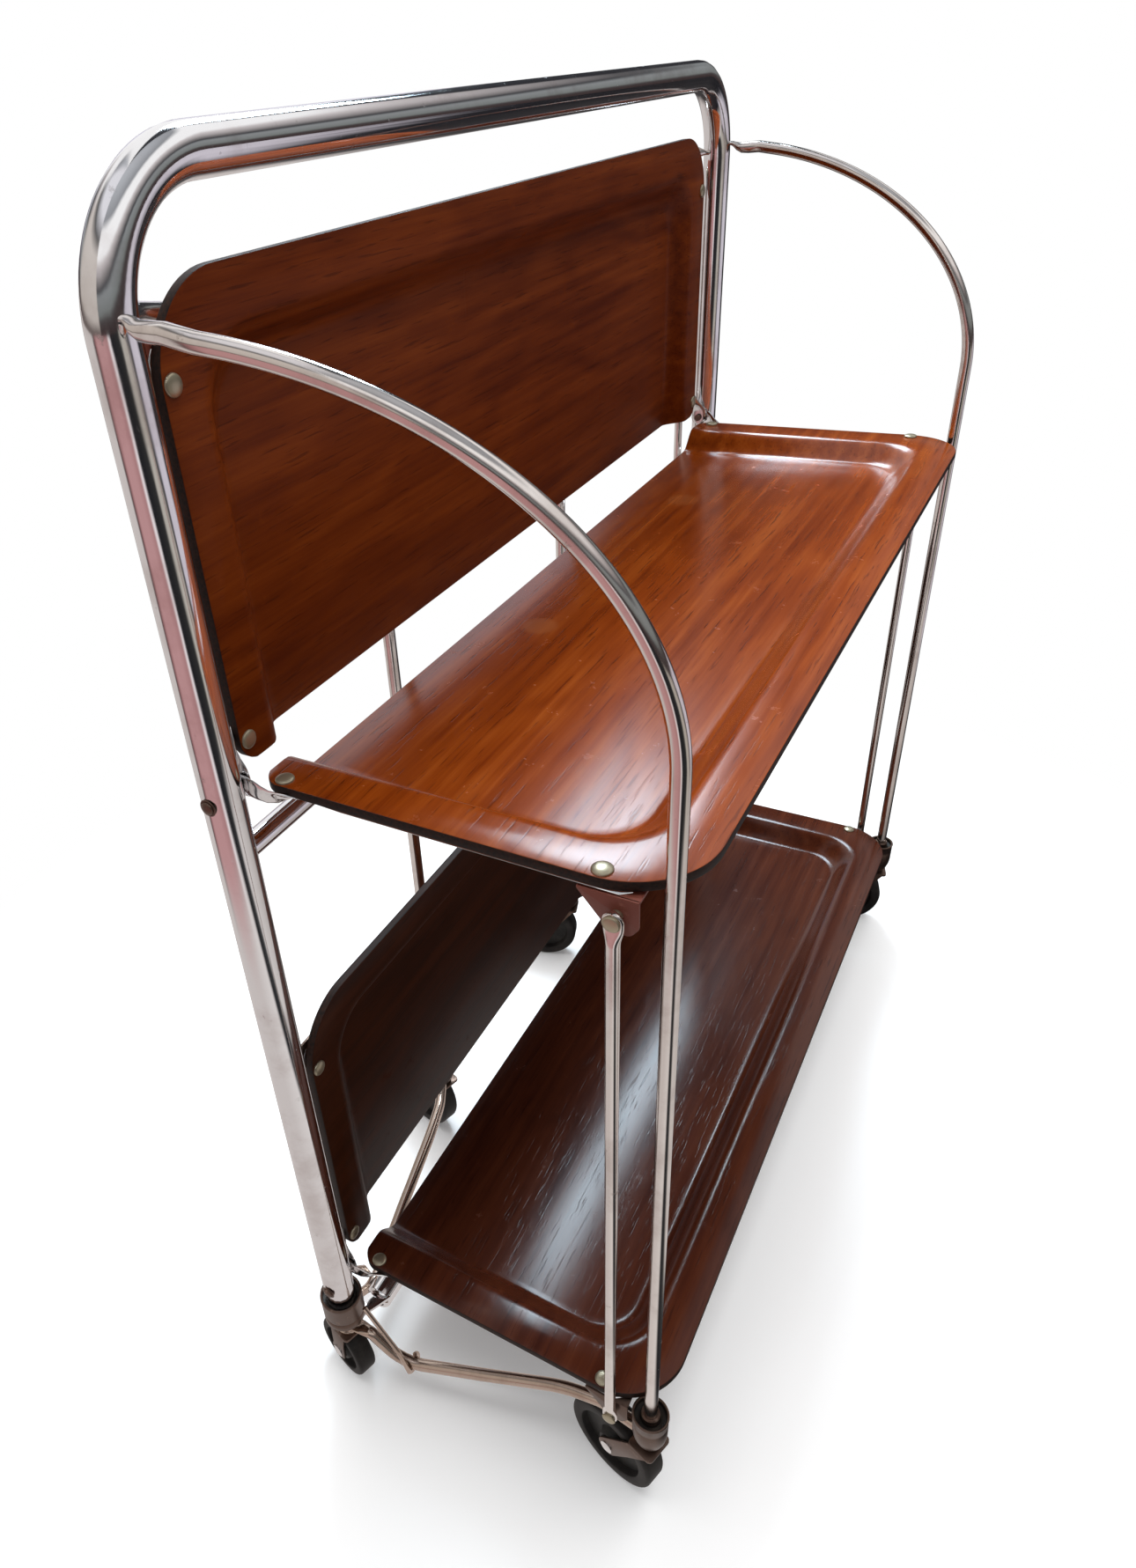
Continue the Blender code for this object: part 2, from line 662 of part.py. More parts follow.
def link_rod(side, wing, is_open):
    _, out, high = link_pin(wing, is_open, HINGE_UPPER)
    low = link_pin(wing, is_open, HINGE_LOWER)[2]
    bodies = []
    for height, way in ((high, -1), (low, 1)):
        def place(p, q, level, height=height, way=way):
            return side * level, out + q, height + way * p

        outline = tongue_outline(LINK_EYE_RADIUS, LINK_ROD_RADIUS * 0.8, 3 * LINK_EYE_RADIUS)
        bodies.append(eye_plate_mesh(outline, LINK_PIN_RADIUS + GAP,
                                     LINK_EYE_AT - LINK_EYE_THICK / 2,
                                     LINK_EYE_AT + LINK_EYE_THICK / 2, place))
    inset = 2 * LINK_EYE_RADIUS
    rod = rod_mesh((side * LINK_EYE_AT, out, low + inset), (side * LINK_EYE_AT, out, high - inset),
                   LINK_ROD_RADIUS, ROUND_SMALL)
    return cut_or_join(rod, bodies, "UNION")


# ---- bows --------------------------------------------------------------------------------
def bow_place(side, wing, drawn_at, stands_at):
    """Map (along, out, height) drawn at one bow angle to space at another."""
    turn = stands_at - drawn_at

    def place(along, out, height):
        inboard = along * math.cos(turn) - out * math.sin(turn)
        outward = along * math.sin(turn) + out * math.cos(turn)
        return side * (POST_HALF_SPACING - inboard), wing * outward, height
    return place


def bow_mesh(side, wing, angle):
    """Quarter arc from the post to the leg, then straight down into the caster cup."""
    place = bow_place(side, wing, BOW_FOLDED_ANGLE, angle)
    crank = Vector((BOW_CRANK_ALONG, BOW_CRANK_OUT, 0))
    leg = Vector((BOW_REACH * math.cos(BOW_FOLDED_ANGLE),
                  BOW_REACH * math.sin(BOW_FOLDED_ANGLE), 0))
    tongue = math.atan2(crank.y, crank.x)
    start = TUBE_RADIUS + SHEET
    path = [Vector(place(start * math.cos(tongue), start * math.sin(tongue), BOW_TOP_HEIGHT))]
    steps = 12
    first = math.asin(crank.length / BOW_REACH)
    for step in range(steps + 1):
        lift = first + (math.pi / 2 - first) * step / steps
        share = (BOW_REACH * math.sin(lift) - crank.length) / (BOW_REACH - crank.length)
        spot = crank.lerp(leg, share)
        path.append(Vector(place(spot.x, spot.y,
                                 BOW_TOP_HEIGHT - BOW_ARC_DROP * (1 - math.cos(lift)))))
    path.append(Vector(place(leg.x, leg.y, CUP_FLOOR + GAP)))
    tube = tube_mesh(path, BOW_TUBE_RADIUS, ROUND_SMALL)

    def flat(p, q, level):
        return place(p * math.cos(tongue) - q * math.sin(tongue),
                     p * math.sin(tongue) + q * math.cos(tongue), level)

    outline = tongue_outline(SPOOL_EYE_RADIUS, TONGUE_HALF_WIDTH, start + BOW_TUBE_RADIUS)
    height = eye_height(wing)
    eye = eye_plate_mesh(outline, SPOOL_PIN_RADIUS + GAP, height - SPOOL_EYE_THICK / 2,
                         height + SPOOL_EYE_THICK / 2, flat)
    return cut_or_join(tube, [eye], "UNION")


def foot_tube_path():
    """Centre line of the foot tube, drawn at the open angle."""
    leg = Vector((BOW_REACH * math.cos(BOW_OPEN_ANGLE), BOW_REACH * math.sin(BOW_OPEN_ANGLE)))
    last = Vector(FOOT_TUBE_POINTS[-1][:2])
    share = (FOOT_TUBE_END_HEIGHT + BOW_TUBE_RADIUS - CUP_BOTTOM) / (CUP_SHOULDER - CUP_BOTTOM)
    cone = CUP_CONE_RADIUS + (CUP_RADIUS - CUP_CONE_RADIUS) * min(share, 1.0)
    toward = (last - leg).normalized() * (cone + GAP)
    points = [*FOOT_TUBE_POINTS, (leg.x + toward.x, leg.y + toward.y, FOOT_TUBE_END_HEIGHT)]
    return fillet(points, FOOT_TUBE_BENDS, 2)


def foot_tube_mesh(side, wing, angle):
    """Tube from the eye on the foot stem, dipping, then up to the caster cup."""
    place = bow_place(side, wing, BOW_OPEN_ANGLE, angle)
    smooth = foot_tube_path()
    path = [Vector(place(*spot)) for spot in smooth]
    tube = tube_mesh(path, BOW_TUBE_RADIUS, ROUND_SMALL)
    tongue = math.atan2(FOOT_TUBE_POINTS[0][1], FOOT_TUBE_POINTS[0][0])

    def flat(p, q, level):
        return place(p * math.cos(tongue) - q * math.sin(tongue),
                     p * math.sin(tongue) + q * math.cos(tongue), level)

    top = FOOT_FRONT_EYE_TOP if wing < 0 else FOOT_BACK_EYE_TOP
    outline = tongue_outline(FOOT_EYE_RADIUS, TONGUE_HALF_WIDTH,
                             FOOT_TUBE_START + BOW_TUBE_RADIUS)
    eye = eye_plate_mesh(outline, FOOT_STEM_RADIUS + GAP, top - FOOT_EYE_THICK, top, flat)
    return cut_or_join(tube, [eye], "UNION")


def wire_link_mesh(side, wing, angle):
    """Bent wire from beside the foot cup, hooked round the foot tube."""
    place = bow_place(side, wing, BOW_OPEN_ANGLE, angle)
    hook = BOW_TUBE_RADIUS + WIRE_RADIUS + GAP
    spots = foot_tube_path()
    after = next(index for index, spot in enumerate(spots) if spot.y > WIRE_HOOK_AT)
    share = (WIRE_HOOK_AT - spots[after - 1].y) / (spots[after].y - spots[after - 1].y)
    centre = spots[after - 1].lerp(spots[after], share)
    across = centre.x - hook
    points = [(across, FOOT_CUP_RADIUS + 3 * WIRE_RADIUS, FOOT_CUP_RIM - 2 * WIRE_RADIUS),
              (across, FOOT_CUP_RADIUS + 5 * WIRE_RADIUS, FOOT_CUP_RIM - 5 * WIRE_RADIUS),
              (across, WIRE_HOOK_AT - hook, centre.z + 3 * hook),
              (across, WIRE_HOOK_AT, centre.z)]
    path = fillet(points, [2 * hook, 2 * hook], 3)[:-1]
    for step in range(ROUND_FINE + 1):
        turn = math.radians(180 + 240 * step / ROUND_FINE)
        path.append(Vector((centre.x + hook * math.cos(turn), WIRE_HOOK_AT,
                            centre.z + hook * math.sin(turn))))
    return tube_mesh([Vector(place(*spot)) for spot in path], WIRE_RADIUS, CORNER_STEPS)


def leg_spot(side, wing, angle):
    place = bow_place(side, wing, BOW_OPEN_ANGLE, angle)
    return place(BOW_REACH * math.cos(BOW_OPEN_ANGLE), BOW_REACH * math.sin(BOW_OPEN_ANGLE), 0.0)


def caster_cup(spot):
    """Pressed funnel with a sleeve round the leg, and a headed stem for the fork."""
    inner = CUP_RADIUS - CUP_WALL
    bore = BOW_TUBE_RADIUS + GAP
    head_top = CUP_BOTTOM - GAP - FORK_PLATE_THICK - GAP
    profile = [(0, head_top - CUP_HEAD_THICK), (CUP_HEAD_RADIUS, head_top - CUP_HEAD_THICK),
               (CUP_HEAD_RADIUS, head_top), (CUP_STEM_RADIUS, head_top),
               (CUP_STEM_RADIUS, CUP_BOTTOM), (CUP_CONE_RADIUS, CUP_BOTTOM),
               (CUP_RADIUS, CUP_SHOULDER), (CUP_RADIUS, CUP_RIM), (inner, CUP_RIM),
               (inner, CUP_RIM - CUP_WALL), (bore, CUP_RIM - CUP_WALL), (bore, CUP_FLOOR),
               (0, CUP_FLOOR)]
    return lathe_mesh(profile, spot, UP, ROUND)


# ---- casters --------------------------------------------------------------------------------
def caster_frame(spot, side, trail_angle):
    """Map (trail, across, height) of a caster to space."""
    ahead = Vector((-side * math.cos(trail_angle), math.sin(trail_angle), 0))
    across = Vector((ahead.y, -ahead.x, 0))

    def place(trail, sideways, height):
        return (spot[0] + ahead.x * trail + across.x * sideways,
                spot[1] + ahead.y * trail + across.y * sideways, height)
    return place, across


def caster_fork(spot, side, radius, half_width, trail, plate_top, plate_thick, stem):
    place, across = caster_frame(spot, side, TRAIL_ANGLE)
    inner = half_width + 2 * GAP
    outer = inner + SHEET
    back = -2.2 * stem
    front = 2.4 * stem
    outline = box_outline(back, front, outer)
    plate = eye_plate_mesh(outline, stem + GAP, plate_top - plate_thick, plate_top, place)
    eye = 2 * stem * 0.85

    def upright(p, q, level):
        return place(p, level, q)

    tools = []
    for way in (-1, 1):
        arm = [(back * 0.6, plate_top - plate_thick / 2), (front - EMBED, plate_top - plate_thick / 2)]
        for step in range(CORNER_STEPS):
            turn = math.radians(50 - 200 * step / (CORNER_STEPS - 1))
            arm.append((trail + eye * math.cos(turn), radius + eye * math.sin(turn)))
        levels = (inner, outer - EMBED) if way > 0 else (EMBED - outer, -inner)
        tools.append(plate_mesh(arm, levels[0], levels[1], upright))
    axle = 0.8 * stem
    cap = outer + SHEET
    profile = [(0, -cap), (1.4 * axle, -cap), (1.4 * axle, GAP - outer), (axle, GAP - outer),
               (axle, outer - GAP), (1.4 * axle, outer - GAP), (1.4 * axle, cap), (0, cap)]
    tools.append(lathe_mesh(profile, place(trail, 0, radius), across, ROUND_FINE))
    return cut_or_join(plate, tools, "UNION")


def caster_wheel(spot, side, radius, half_width, trail, stem):
    """Tyre ring round a recessed web with a hub."""
    place, across = caster_frame(spot, side, TRAIL_ANGLE)
    bore = 0.8 * stem + GAP
    hub = 2.1 * stem
    web = 0.40 * half_width
    ring_inner = radius - 0.30 * radius
    edge = 0.22 * half_width
    half = [(bore, half_width), (hub, half_width), (1.1 * hub, web), (ring_inner, web),
            (1.07 * ring_inner, half_width), (radius - edge, half_width - edge / 3),
            (radius, half_width - 1.6 * edge)]
    profile = half + [(r, -w) for r, w in reversed(half)]
    return lathe_mesh(profile, place(trail, 0, radius), across, ROUND_WHEEL)


# ---- assembly ------------------------------------------------------------------------------------
def build():
    for obj in list(bpy.data.objects):
        bpy.data.objects.remove(obj)
    chrome = material("chromed_steel", (0.78, 0.76, 0.74), 1.0, 0.14)
    wood = material("lacquered_plywood", (0.30, 0.085, 0.030), 0.0, 0.30)
    paint = material("brown_red_paint", (0.23, 0.060, 0.040), 0.1, 0.45)
    bronze = material("bronzed_cup", (0.22, 0.120, 0.070), 0.7, 0.35)
    rubber = material("dark_tyre", (0.060, 0.045, 0.040), 0.0, 0.50)

    root = bpy.data.objects.new("bar_cart", None)
    bpy.context.scene.collection.objects.link(root)
    add("main_frame", main_frame(), chrome, (0, 0, 0), root)
    add("lower_crossbar", lower_crossbar(), chrome, (0, 0, 0), root)

    for side_name, side in SIDES:
        post = (side * POST_HALF_SPACING, 0, 0)
        add(f"{side_name}_foot_cup", foot_cup(side), bronze, post, root)
        for level_name, hinge in LEVELS:
            add(f"{side_name}_{level_name}_hinge_pin", hinge_pin(side, hinge), bronze,
                (side * (POST_HALF_SPACING + TUBE_RADIUS), 0, hinge), root)
        place, _ = caster_frame(post, side, TRAIL_ANGLE)
        fork = caster_fork(post, side, FOOT_WHEEL_RADIUS, FOOT_WHEEL_HALF_WIDTH, FOOT_WHEEL_TRAIL,
                           FOOT_PLATE_TOP, FOOT_PLATE_THICK, FOOT_STEM_RADIUS)
        add(f"{side_name}_foot_caster_fork", fork, chrome, post, root)
        wheel = caster_wheel(post, side, FOOT_WHEEL_RADIUS, FOOT_WHEEL_HALF_WIDTH,
                             FOOT_WHEEL_TRAIL, FOOT_STEM_RADIUS)
        add(f"{side_name}_foot_caster_wheel", wheel, rubber,
            place(FOOT_WHEEL_TRAIL, 0, FOOT_WHEEL_RADIUS), root)

    for wing_name, wing, is_open in WINGS:
        angle = BOW_OPEN_ANGLE if is_open else BOW_FOLDED_ANGLE
        for level_name, hinge in LEVELS:
            place = wing_place(wing, is_open, hinge)
            axis = (0, 0, hinge)
            name = f"{wing_name}_{level_name}"
            add(f"{name}_tray", tray_mesh(place), wood, axis, root)
            for side_name, side in SIDES:
                add(f"{name}_{side_name}_arm", tray_arm(place, side, wing), chrome, axis, root)
                add(f"{name}_{side_name}_bracket", link_bracket(place, side), paint, axis, root)
        for side_name, side in SIDES:
            name = f"{wing_name}_{side_name}"
            post = (side * POST_HALF_SPACING, 0, 0)
            add(f"{name}_link_rod", link_rod(side, wing, is_open), chrome,
                link_pin(wing, is_open, HINGE_UPPER), root)
            add(f"{name}_bow", bow_mesh(side, wing, angle), chrome, post, root)
            add(f"{name}_bow_foot_tube", foot_tube_mesh(side, wing, angle), chrome, post, root)
            add(f"{name}_wire_link", wire_link_mesh(side, wing, angle), chrome, post, root)
            spot = leg_spot(side, wing, angle)
            add(f"{name}_caster_cup", caster_cup(spot), bronze, spot, root)
            fork = caster_fork(spot, side, BOW_WHEEL_RADIUS, BOW_WHEEL_HALF_WIDTH,
                               BOW_WHEEL_TRAIL, CUP_BOTTOM - GAP, FORK_PLATE_THICK,
                               CUP_STEM_RADIUS)
            add(f"{name}_caster_fork", fork, chrome, spot, root)
            place, _ = caster_frame(spot, side, TRAIL_ANGLE)
            wheel = caster_wheel(spot, side, BOW_WHEEL_RADIUS, BOW_WHEEL_HALF_WIDTH,
                                 BOW_WHEEL_TRAIL, CUP_STEM_RADIUS)
            add(f"{name}_caster_wheel", wheel, rubber,
                place(BOW_WHEEL_TRAIL, 0, BOW_WHEEL_RADIUS), root)
    centre_on_floor(root)


def centre_on_floor(root):
    """Move the root so that the origin is the bottom centre of the whole part."""
    bpy.context.view_layer.update()
    points = []
    for obj in root.children:
        points += [obj.matrix_world @ vertex.co for vertex in obj.data.vertices]
    low = Vector([min(point[axis] for point in points) for axis in range(3)])
    high = Vector([max(point[axis] for point in points) for axis in range(3)])
    root.matrix_world = Matrix.Translation((-(low.x + high.x) / 2, -(low.y + high.y) / 2, -low.z))
    bpy.context.view_layer.update()


build()
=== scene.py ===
import math
from collections import namedtuple

import bmesh
import bpy
from mathutils import Matrix, Vector


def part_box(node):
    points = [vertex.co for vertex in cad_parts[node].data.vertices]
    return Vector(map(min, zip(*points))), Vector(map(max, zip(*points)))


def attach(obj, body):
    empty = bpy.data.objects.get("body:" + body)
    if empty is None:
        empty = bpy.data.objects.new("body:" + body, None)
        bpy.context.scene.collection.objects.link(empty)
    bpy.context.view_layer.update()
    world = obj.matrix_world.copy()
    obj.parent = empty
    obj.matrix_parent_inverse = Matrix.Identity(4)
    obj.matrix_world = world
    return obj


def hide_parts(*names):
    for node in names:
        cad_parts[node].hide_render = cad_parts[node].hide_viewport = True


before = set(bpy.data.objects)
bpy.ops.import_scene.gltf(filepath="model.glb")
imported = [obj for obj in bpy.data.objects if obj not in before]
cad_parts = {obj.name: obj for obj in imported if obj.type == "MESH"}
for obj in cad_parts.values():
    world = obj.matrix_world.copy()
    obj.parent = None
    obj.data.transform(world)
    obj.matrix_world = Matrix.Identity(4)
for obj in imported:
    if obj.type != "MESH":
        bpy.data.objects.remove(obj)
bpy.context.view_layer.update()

frame_low, frame_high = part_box("main_frame")
MIDDLE = Vector((0, (frame_low.y + frame_high.y) / 2, 0))
UP = Vector((0, 0, 1))

# ---- measures of the cart, metres, with the posts' plane at y = 0 ----
# A dictionary gives one value for the front wing (-1) and one for the back wing (1).
SHEET = 0.0015
MERGE = 0.000005
SOFT_EDGE = 0.0004
SHARP_FROM = 35
BEVEL_FROM = 50
BEND_SHARE = 0.49

# frame
POST_AT = 0.326
HANDLE_TOP = 0.75
TUBE = 0.01
HANDLE_BEND = 0.055
POST_FOOT = 0.0665
UPPER_BAR = 0.006
UPPER_BAR_AT = 0.453
LOWER_BAR = 0.009
LOWER_BAR_AT = (-0.01, 0.0545)
TAB_EYE = 0.0078
TAB_REACH = 0.026
TAB_HALF = 0.0062
TAB_LEVELS = (0.0572, 0.0597)

# foot cup, as (radius, height)
FOOT_CUP = 0.0138
FOOT_CUP_RIM = 0.088
FOOT_CUP_SHELL = (
    (0, 0.0447), (0.0062, 0.0447), (0.0066, 0.0455), (0.0062, 0.0465), (0.004, 0.0467),
    (0.004, 0.06), (0.0062, 0.0602), (0.009, 0.0612), (0.0125, 0.0632), (0.0137, 0.0655),
    (FOOT_CUP, 0.07), (0.0134, 0.0712), (FOOT_CUP, 0.0724), (FOOT_CUP, 0.0862), (0.014, 0.087),
    (FOOT_CUP, FOOT_CUP_RIM), (0.013, 0.0884), (0.0124, FOOT_CUP_RIM),
)
FOOT_CUP_LINING = (
    (0.0124, FOOT_CUP_RIM), (0.0122, 0.085), (0.0101, 0.0846), (0.0095, 0.07), (0, 0.07),
)

# hinge pins
PIN = 0.0028
PIN_SUNK = 0.006
PIN_INNER_ENDS = (0.3095, 0.3165)
PIN_WASHER = ((0.0043, 0), (0.0045, 0.0003), (0.0042, 0.0006))
PIN_HEAD = 0.0034
PIN_HEAD_HIGH = 0.0014

# trays
TRAY_HALF = 0.306
TRAY_DEEP = 0.214
TRAY_BACK_EDGE = 0.004
TRAY_CORNER = 0.04
DISH_CORNER = 0.026
EAR = 0.01
EAR_FADE = 0.014
EAR_ROUND = 0.7
EAR_SLANT = 0.3
PLY = 0.005
PLY_SOFT = 0.0009
PLY_SHARP_FROM = 60
PLY_BEVEL_FROM = 55
LIP = 0.022
COVE = 0.02
COVE_SHIFT = 0.001
COVE_EASE = 0.002
DISH = 0.014
RIM_BELOW_HINGE = 0.002
UPPER_HINGE = 0.488
LOWER_HINGE = 0.103

# tray arms and rivets
ARM_WEB_AT = {-1: 0.3148, 1: 0.3123}
ARM_AT = 0.2985
ARM_EYE = 0.0063
ARM_EYE_HALF = 0.00085
ARM_EYE_SHARES = (-0.99, -0.92, -0.75, -0.5, -0.2, 0.2, 0.6, 1)
ARM_NECK = 0.0055
ARM_SWELL = 0.0005
ARM_DROP = 0.0056
ARM_DROP_SHARE = 0.4
ARM_TWIST = 0.024
ARM_TWIST_STEPS = 8
ARM_HALF = 0.0011
ARM_STRIP = ((0.05, 0.0068), (0.1, 0.0068), (0.15, 0.0068), (0.185, 0.0068), (0.1895, 0.0035))
RIVET = 0.0047
RIVET_HIGH = 0.002
RIVET_SHANK = 0.002
RIVET_ACROSS = 0.3005
RIVETS_OUT = (0.016, 0.176)

# link brackets and link rods
BRACKET_BELOW_PLY = 0.0016
BRACKET_SPAN = (0.167, 0.194)
BRACKET_NOSE = (0.1815, 0.1905)
BRACKET_HEM = 0.0012
BRACKET_LOW = -0.0275
BRACKET_FRONT_LOW = -0.0225
BRACKET_BENDS = (0.001, 0.002, 0.005, 0.004, 0.003)
BRACKET_WEB = (0.305, 0.3065)
BRACKET_FLANGE = (0.293, 0.3063)
LINK_AT = 0.311
LINK_OUT = 0.185
LINK_BELOW = 0.0175
LINK_ROD = 0.0032
LINK_EYE = 0.0047
LINK_EYE_HALF = 0.0015
LINK_EYE_SHARES = (-0.99, -0.93, -0.78, -0.5, -0.2, 0.1, 0.5, 0.9, 1.3, 1.7, 2.1, 2.5)
LINK_NECK_FROM = 0.6
LINK_NECK_LONG = 1.9
LINK_PIN = 0.0025
LINK_PIN_ROOT = 0.306
LINK_PIN_CLEAR = 0.0016
LINK_WASHER = ((0.004, 0), (0.0041, 0.0004))
LINK_HEAD = 0.0038
LINK_HEAD_HIGH = 0.0011

# bows
BOW_TUBE = 0.004
BOW_REACH = 0.208
BOW_TOP = 0.691
BOW_DROP = 0.152
BOW_OPEN = math.radians(83.4)
BOW_FOLDED = math.radians(12.2)
BOW_ARC_STEPS = 48
BOW_LEG_LEVELS = (0.5, 0.3, 0.12, 0.0763)
CRANK = Vector((0.035, 0.0195, 0))
EYE_STEP = 0.0025
EYE_DROP = 0.0012
TONGUE_LINE = (  # (distance from the post's axis, share of the rise to the bow)
    (0.008, 0), (0.01, 0), (0.0115, 0.05), (0.0135, 0.3), (0.016, 0.7), (0.019, 0.95),
    (0.024, 1), (0.032, 1),
)
# pressed end of a tube: flat length, length of the flare, half width, half height, bulge
Tongue = namedtuple("Tongue", "flat flare wide high bulge")
BOW_TONGUE = Tongue(0.0025, 0.012, 0.00275, 0.0015, 0.0008)

# bow foot tubes and wire links
FOOT_TUBE_LINE = (
    (0.001, 0.0135, 0.0529), (0.0016, 0.0185, 0.0529), (0.0045, 0.04, 0.03),
    (0.015, 0.095, 0.048), (0.0265, 0.15, 0.0655), (0.0285, 0.175, 0.0685),
)
FOOT_TUBE_BENDS = (0.006, 0.03, 0.2, 0.12, 0.04)
FOOT_TUBE_END = 0.069
FOOT_TUBE_SUNK = 0.001
FOOT_EYE_TOP = {-1: 0.0557, 1: 0.0525}
FOOT_EYE_RING = (  # (radius, depth below the eye's top)
    (0.0043, 0), (0.0074, 0), (0.0078, 0.0004), (0.0078, 0.0022), (0.0074, 0.0026),
    (0.0043, 0.0026), (0.0043, 0),
)
FOOT_TONGUE_AWAY = (0.005, 0.008, 0.01, 0.012)
FOOT_TONGUE = Tongue(0.0045, 0.009, 0.005, 0.0013, 0)
WIRE = 0.0016
WIRE_GAP = 0.0003
WIRE_HOOK_AT = 0.047
WIRE_HOOK_TURN = (180, 420)
WIRE_HOOK_STEPS = 16

# caster cup, as (radius, height)
CUP_SHOULDER = 0.074
CUP_BOTTOM = 0.0613
CUP = 0.0105
CUP_CONE = 0.0055
CUP_SHELL = (
    (0, 0.0565), (0.006, 0.0565), (0.0062, 0.0572), (0.0058, 0.0586), (0.0038, 0.0588),
    (0.0038, 0.0612), (CUP_CONE, 0.0614), (0.0066, 0.063), (0.0082, 0.0665), (0.0098, 0.0715),
    (0.0104, 0.076), (CUP, 0.085), (0.0103, 0.0858), (CUP, 0.0866), (CUP, 0.0925),
    (0.0109, 0.0931), (0.0107, 0.0938), (0.01, 0.094), (0.0094, 0.0935),
)
CUP_LINING = ((0.0094, 0.0935), (0.0091, 0.0905), (0.0062, 0.09), (0.0058, 0.0912))
CUP_COLLAR = (
    (0.0058, 0.0912), (0.0056, 0.0945), (0.005, 0.0952), (0.0041, 0.095), (0.0041, 0.09),
    (0, 0.0765),
)

# casters: wheel radius, its half width, trail, top and thickness of the fork's plate, stem radius
Caster = namedtuple("Caster", "wheel half trail top thick stem")
FOOT_CASTER = Caster(0.022, 0.007, 0.005, 0.0493, 0.0024, 0.004)
BOW_CASTER = Caster(0.031, 0.008, 0.0245, 0.061, 0.002, 0.0038)
TRAIL = math.radians(73)
FORK_CLEAR = 0.0006
FORK_SEAM = 0.0001
FORK_CORNER = 0.003
FORK_LAP = 0.0008
FORK_WAIST = (0.0012, -0.001)
FORK_SOFT = 0.0003
FORK_EYE_ARC = (42, -148)
FORK_EYE_STEPS = 14
AXLE_CAP_HIGH = 0.0014
AXLE_CAP_SOFT = 0.0007
# shares of the stem radius
FORK_BACK = 2.2
FORK_FRONT = 2.4
FORK_EYE = 1.7
AXLE = 0.8
HUB = 2.1
# shares of the fork's back, and of the axle radius
FORK_HEEL = 0.65
AXLE_CAP = (0.8, 1.4)

WHEEL_STEPS = 64
WHEEL_PLAY = 0.0003
HUB_SOFT = 0.0006
WEB_RISE = 0.0012
WEB_DIP = (0.0004, 0.0002)
TYRE_STEP = (0.0004, 0.001)
# shares of the wheel's half width, and of its radius
WEB_HALF = 0.4
TREAD_ROUND = 0.34
TREAD_FLAT = 0.62
TREAD_SIDE = 0.36
TYRE_INSIDE = 0.7
# shares of the tyre's inner radius and of the half width, and of the hub's radius
TYRE_LEDGE = ((1.05, 0.93), (1.09, 1))
HUB_FOOT = (1.08, 1.22)

SIDES = (("left", -1), ("right", 1))
WINGS = (("front", -1, True), ("back", 1, False))
LEVELS = (("upper", UPPER_HINGE), ("lower", LOWER_HINGE))


# ---- finishes ----
class Socket:
    """An output socket; arithmetic on it adds Math nodes."""

    def __init__(self, finish, socket):
        self.finish = finish
        self.socket = socket

    def maths(self, operation, first, second):
        return self.finish.node("Math", {0: first, 1: second}, operation=operation)

    def output(self, key):
        """Another output of the same node."""
        return Socket(self.finish, self.socket.node.outputs[key])

    def __add__(self, other):
        return self.maths("ADD", self, other)

    def __radd__(self, other):
        return self.maths("ADD", other, self)

    def __sub__(self, other):
        return self.maths("SUBTRACT", self, other)

    def __rsub__(self, other):
        return self.maths("SUBTRACT", other, self)

    def __mul__(self, other):
        return self.maths("MULTIPLY", self, other)


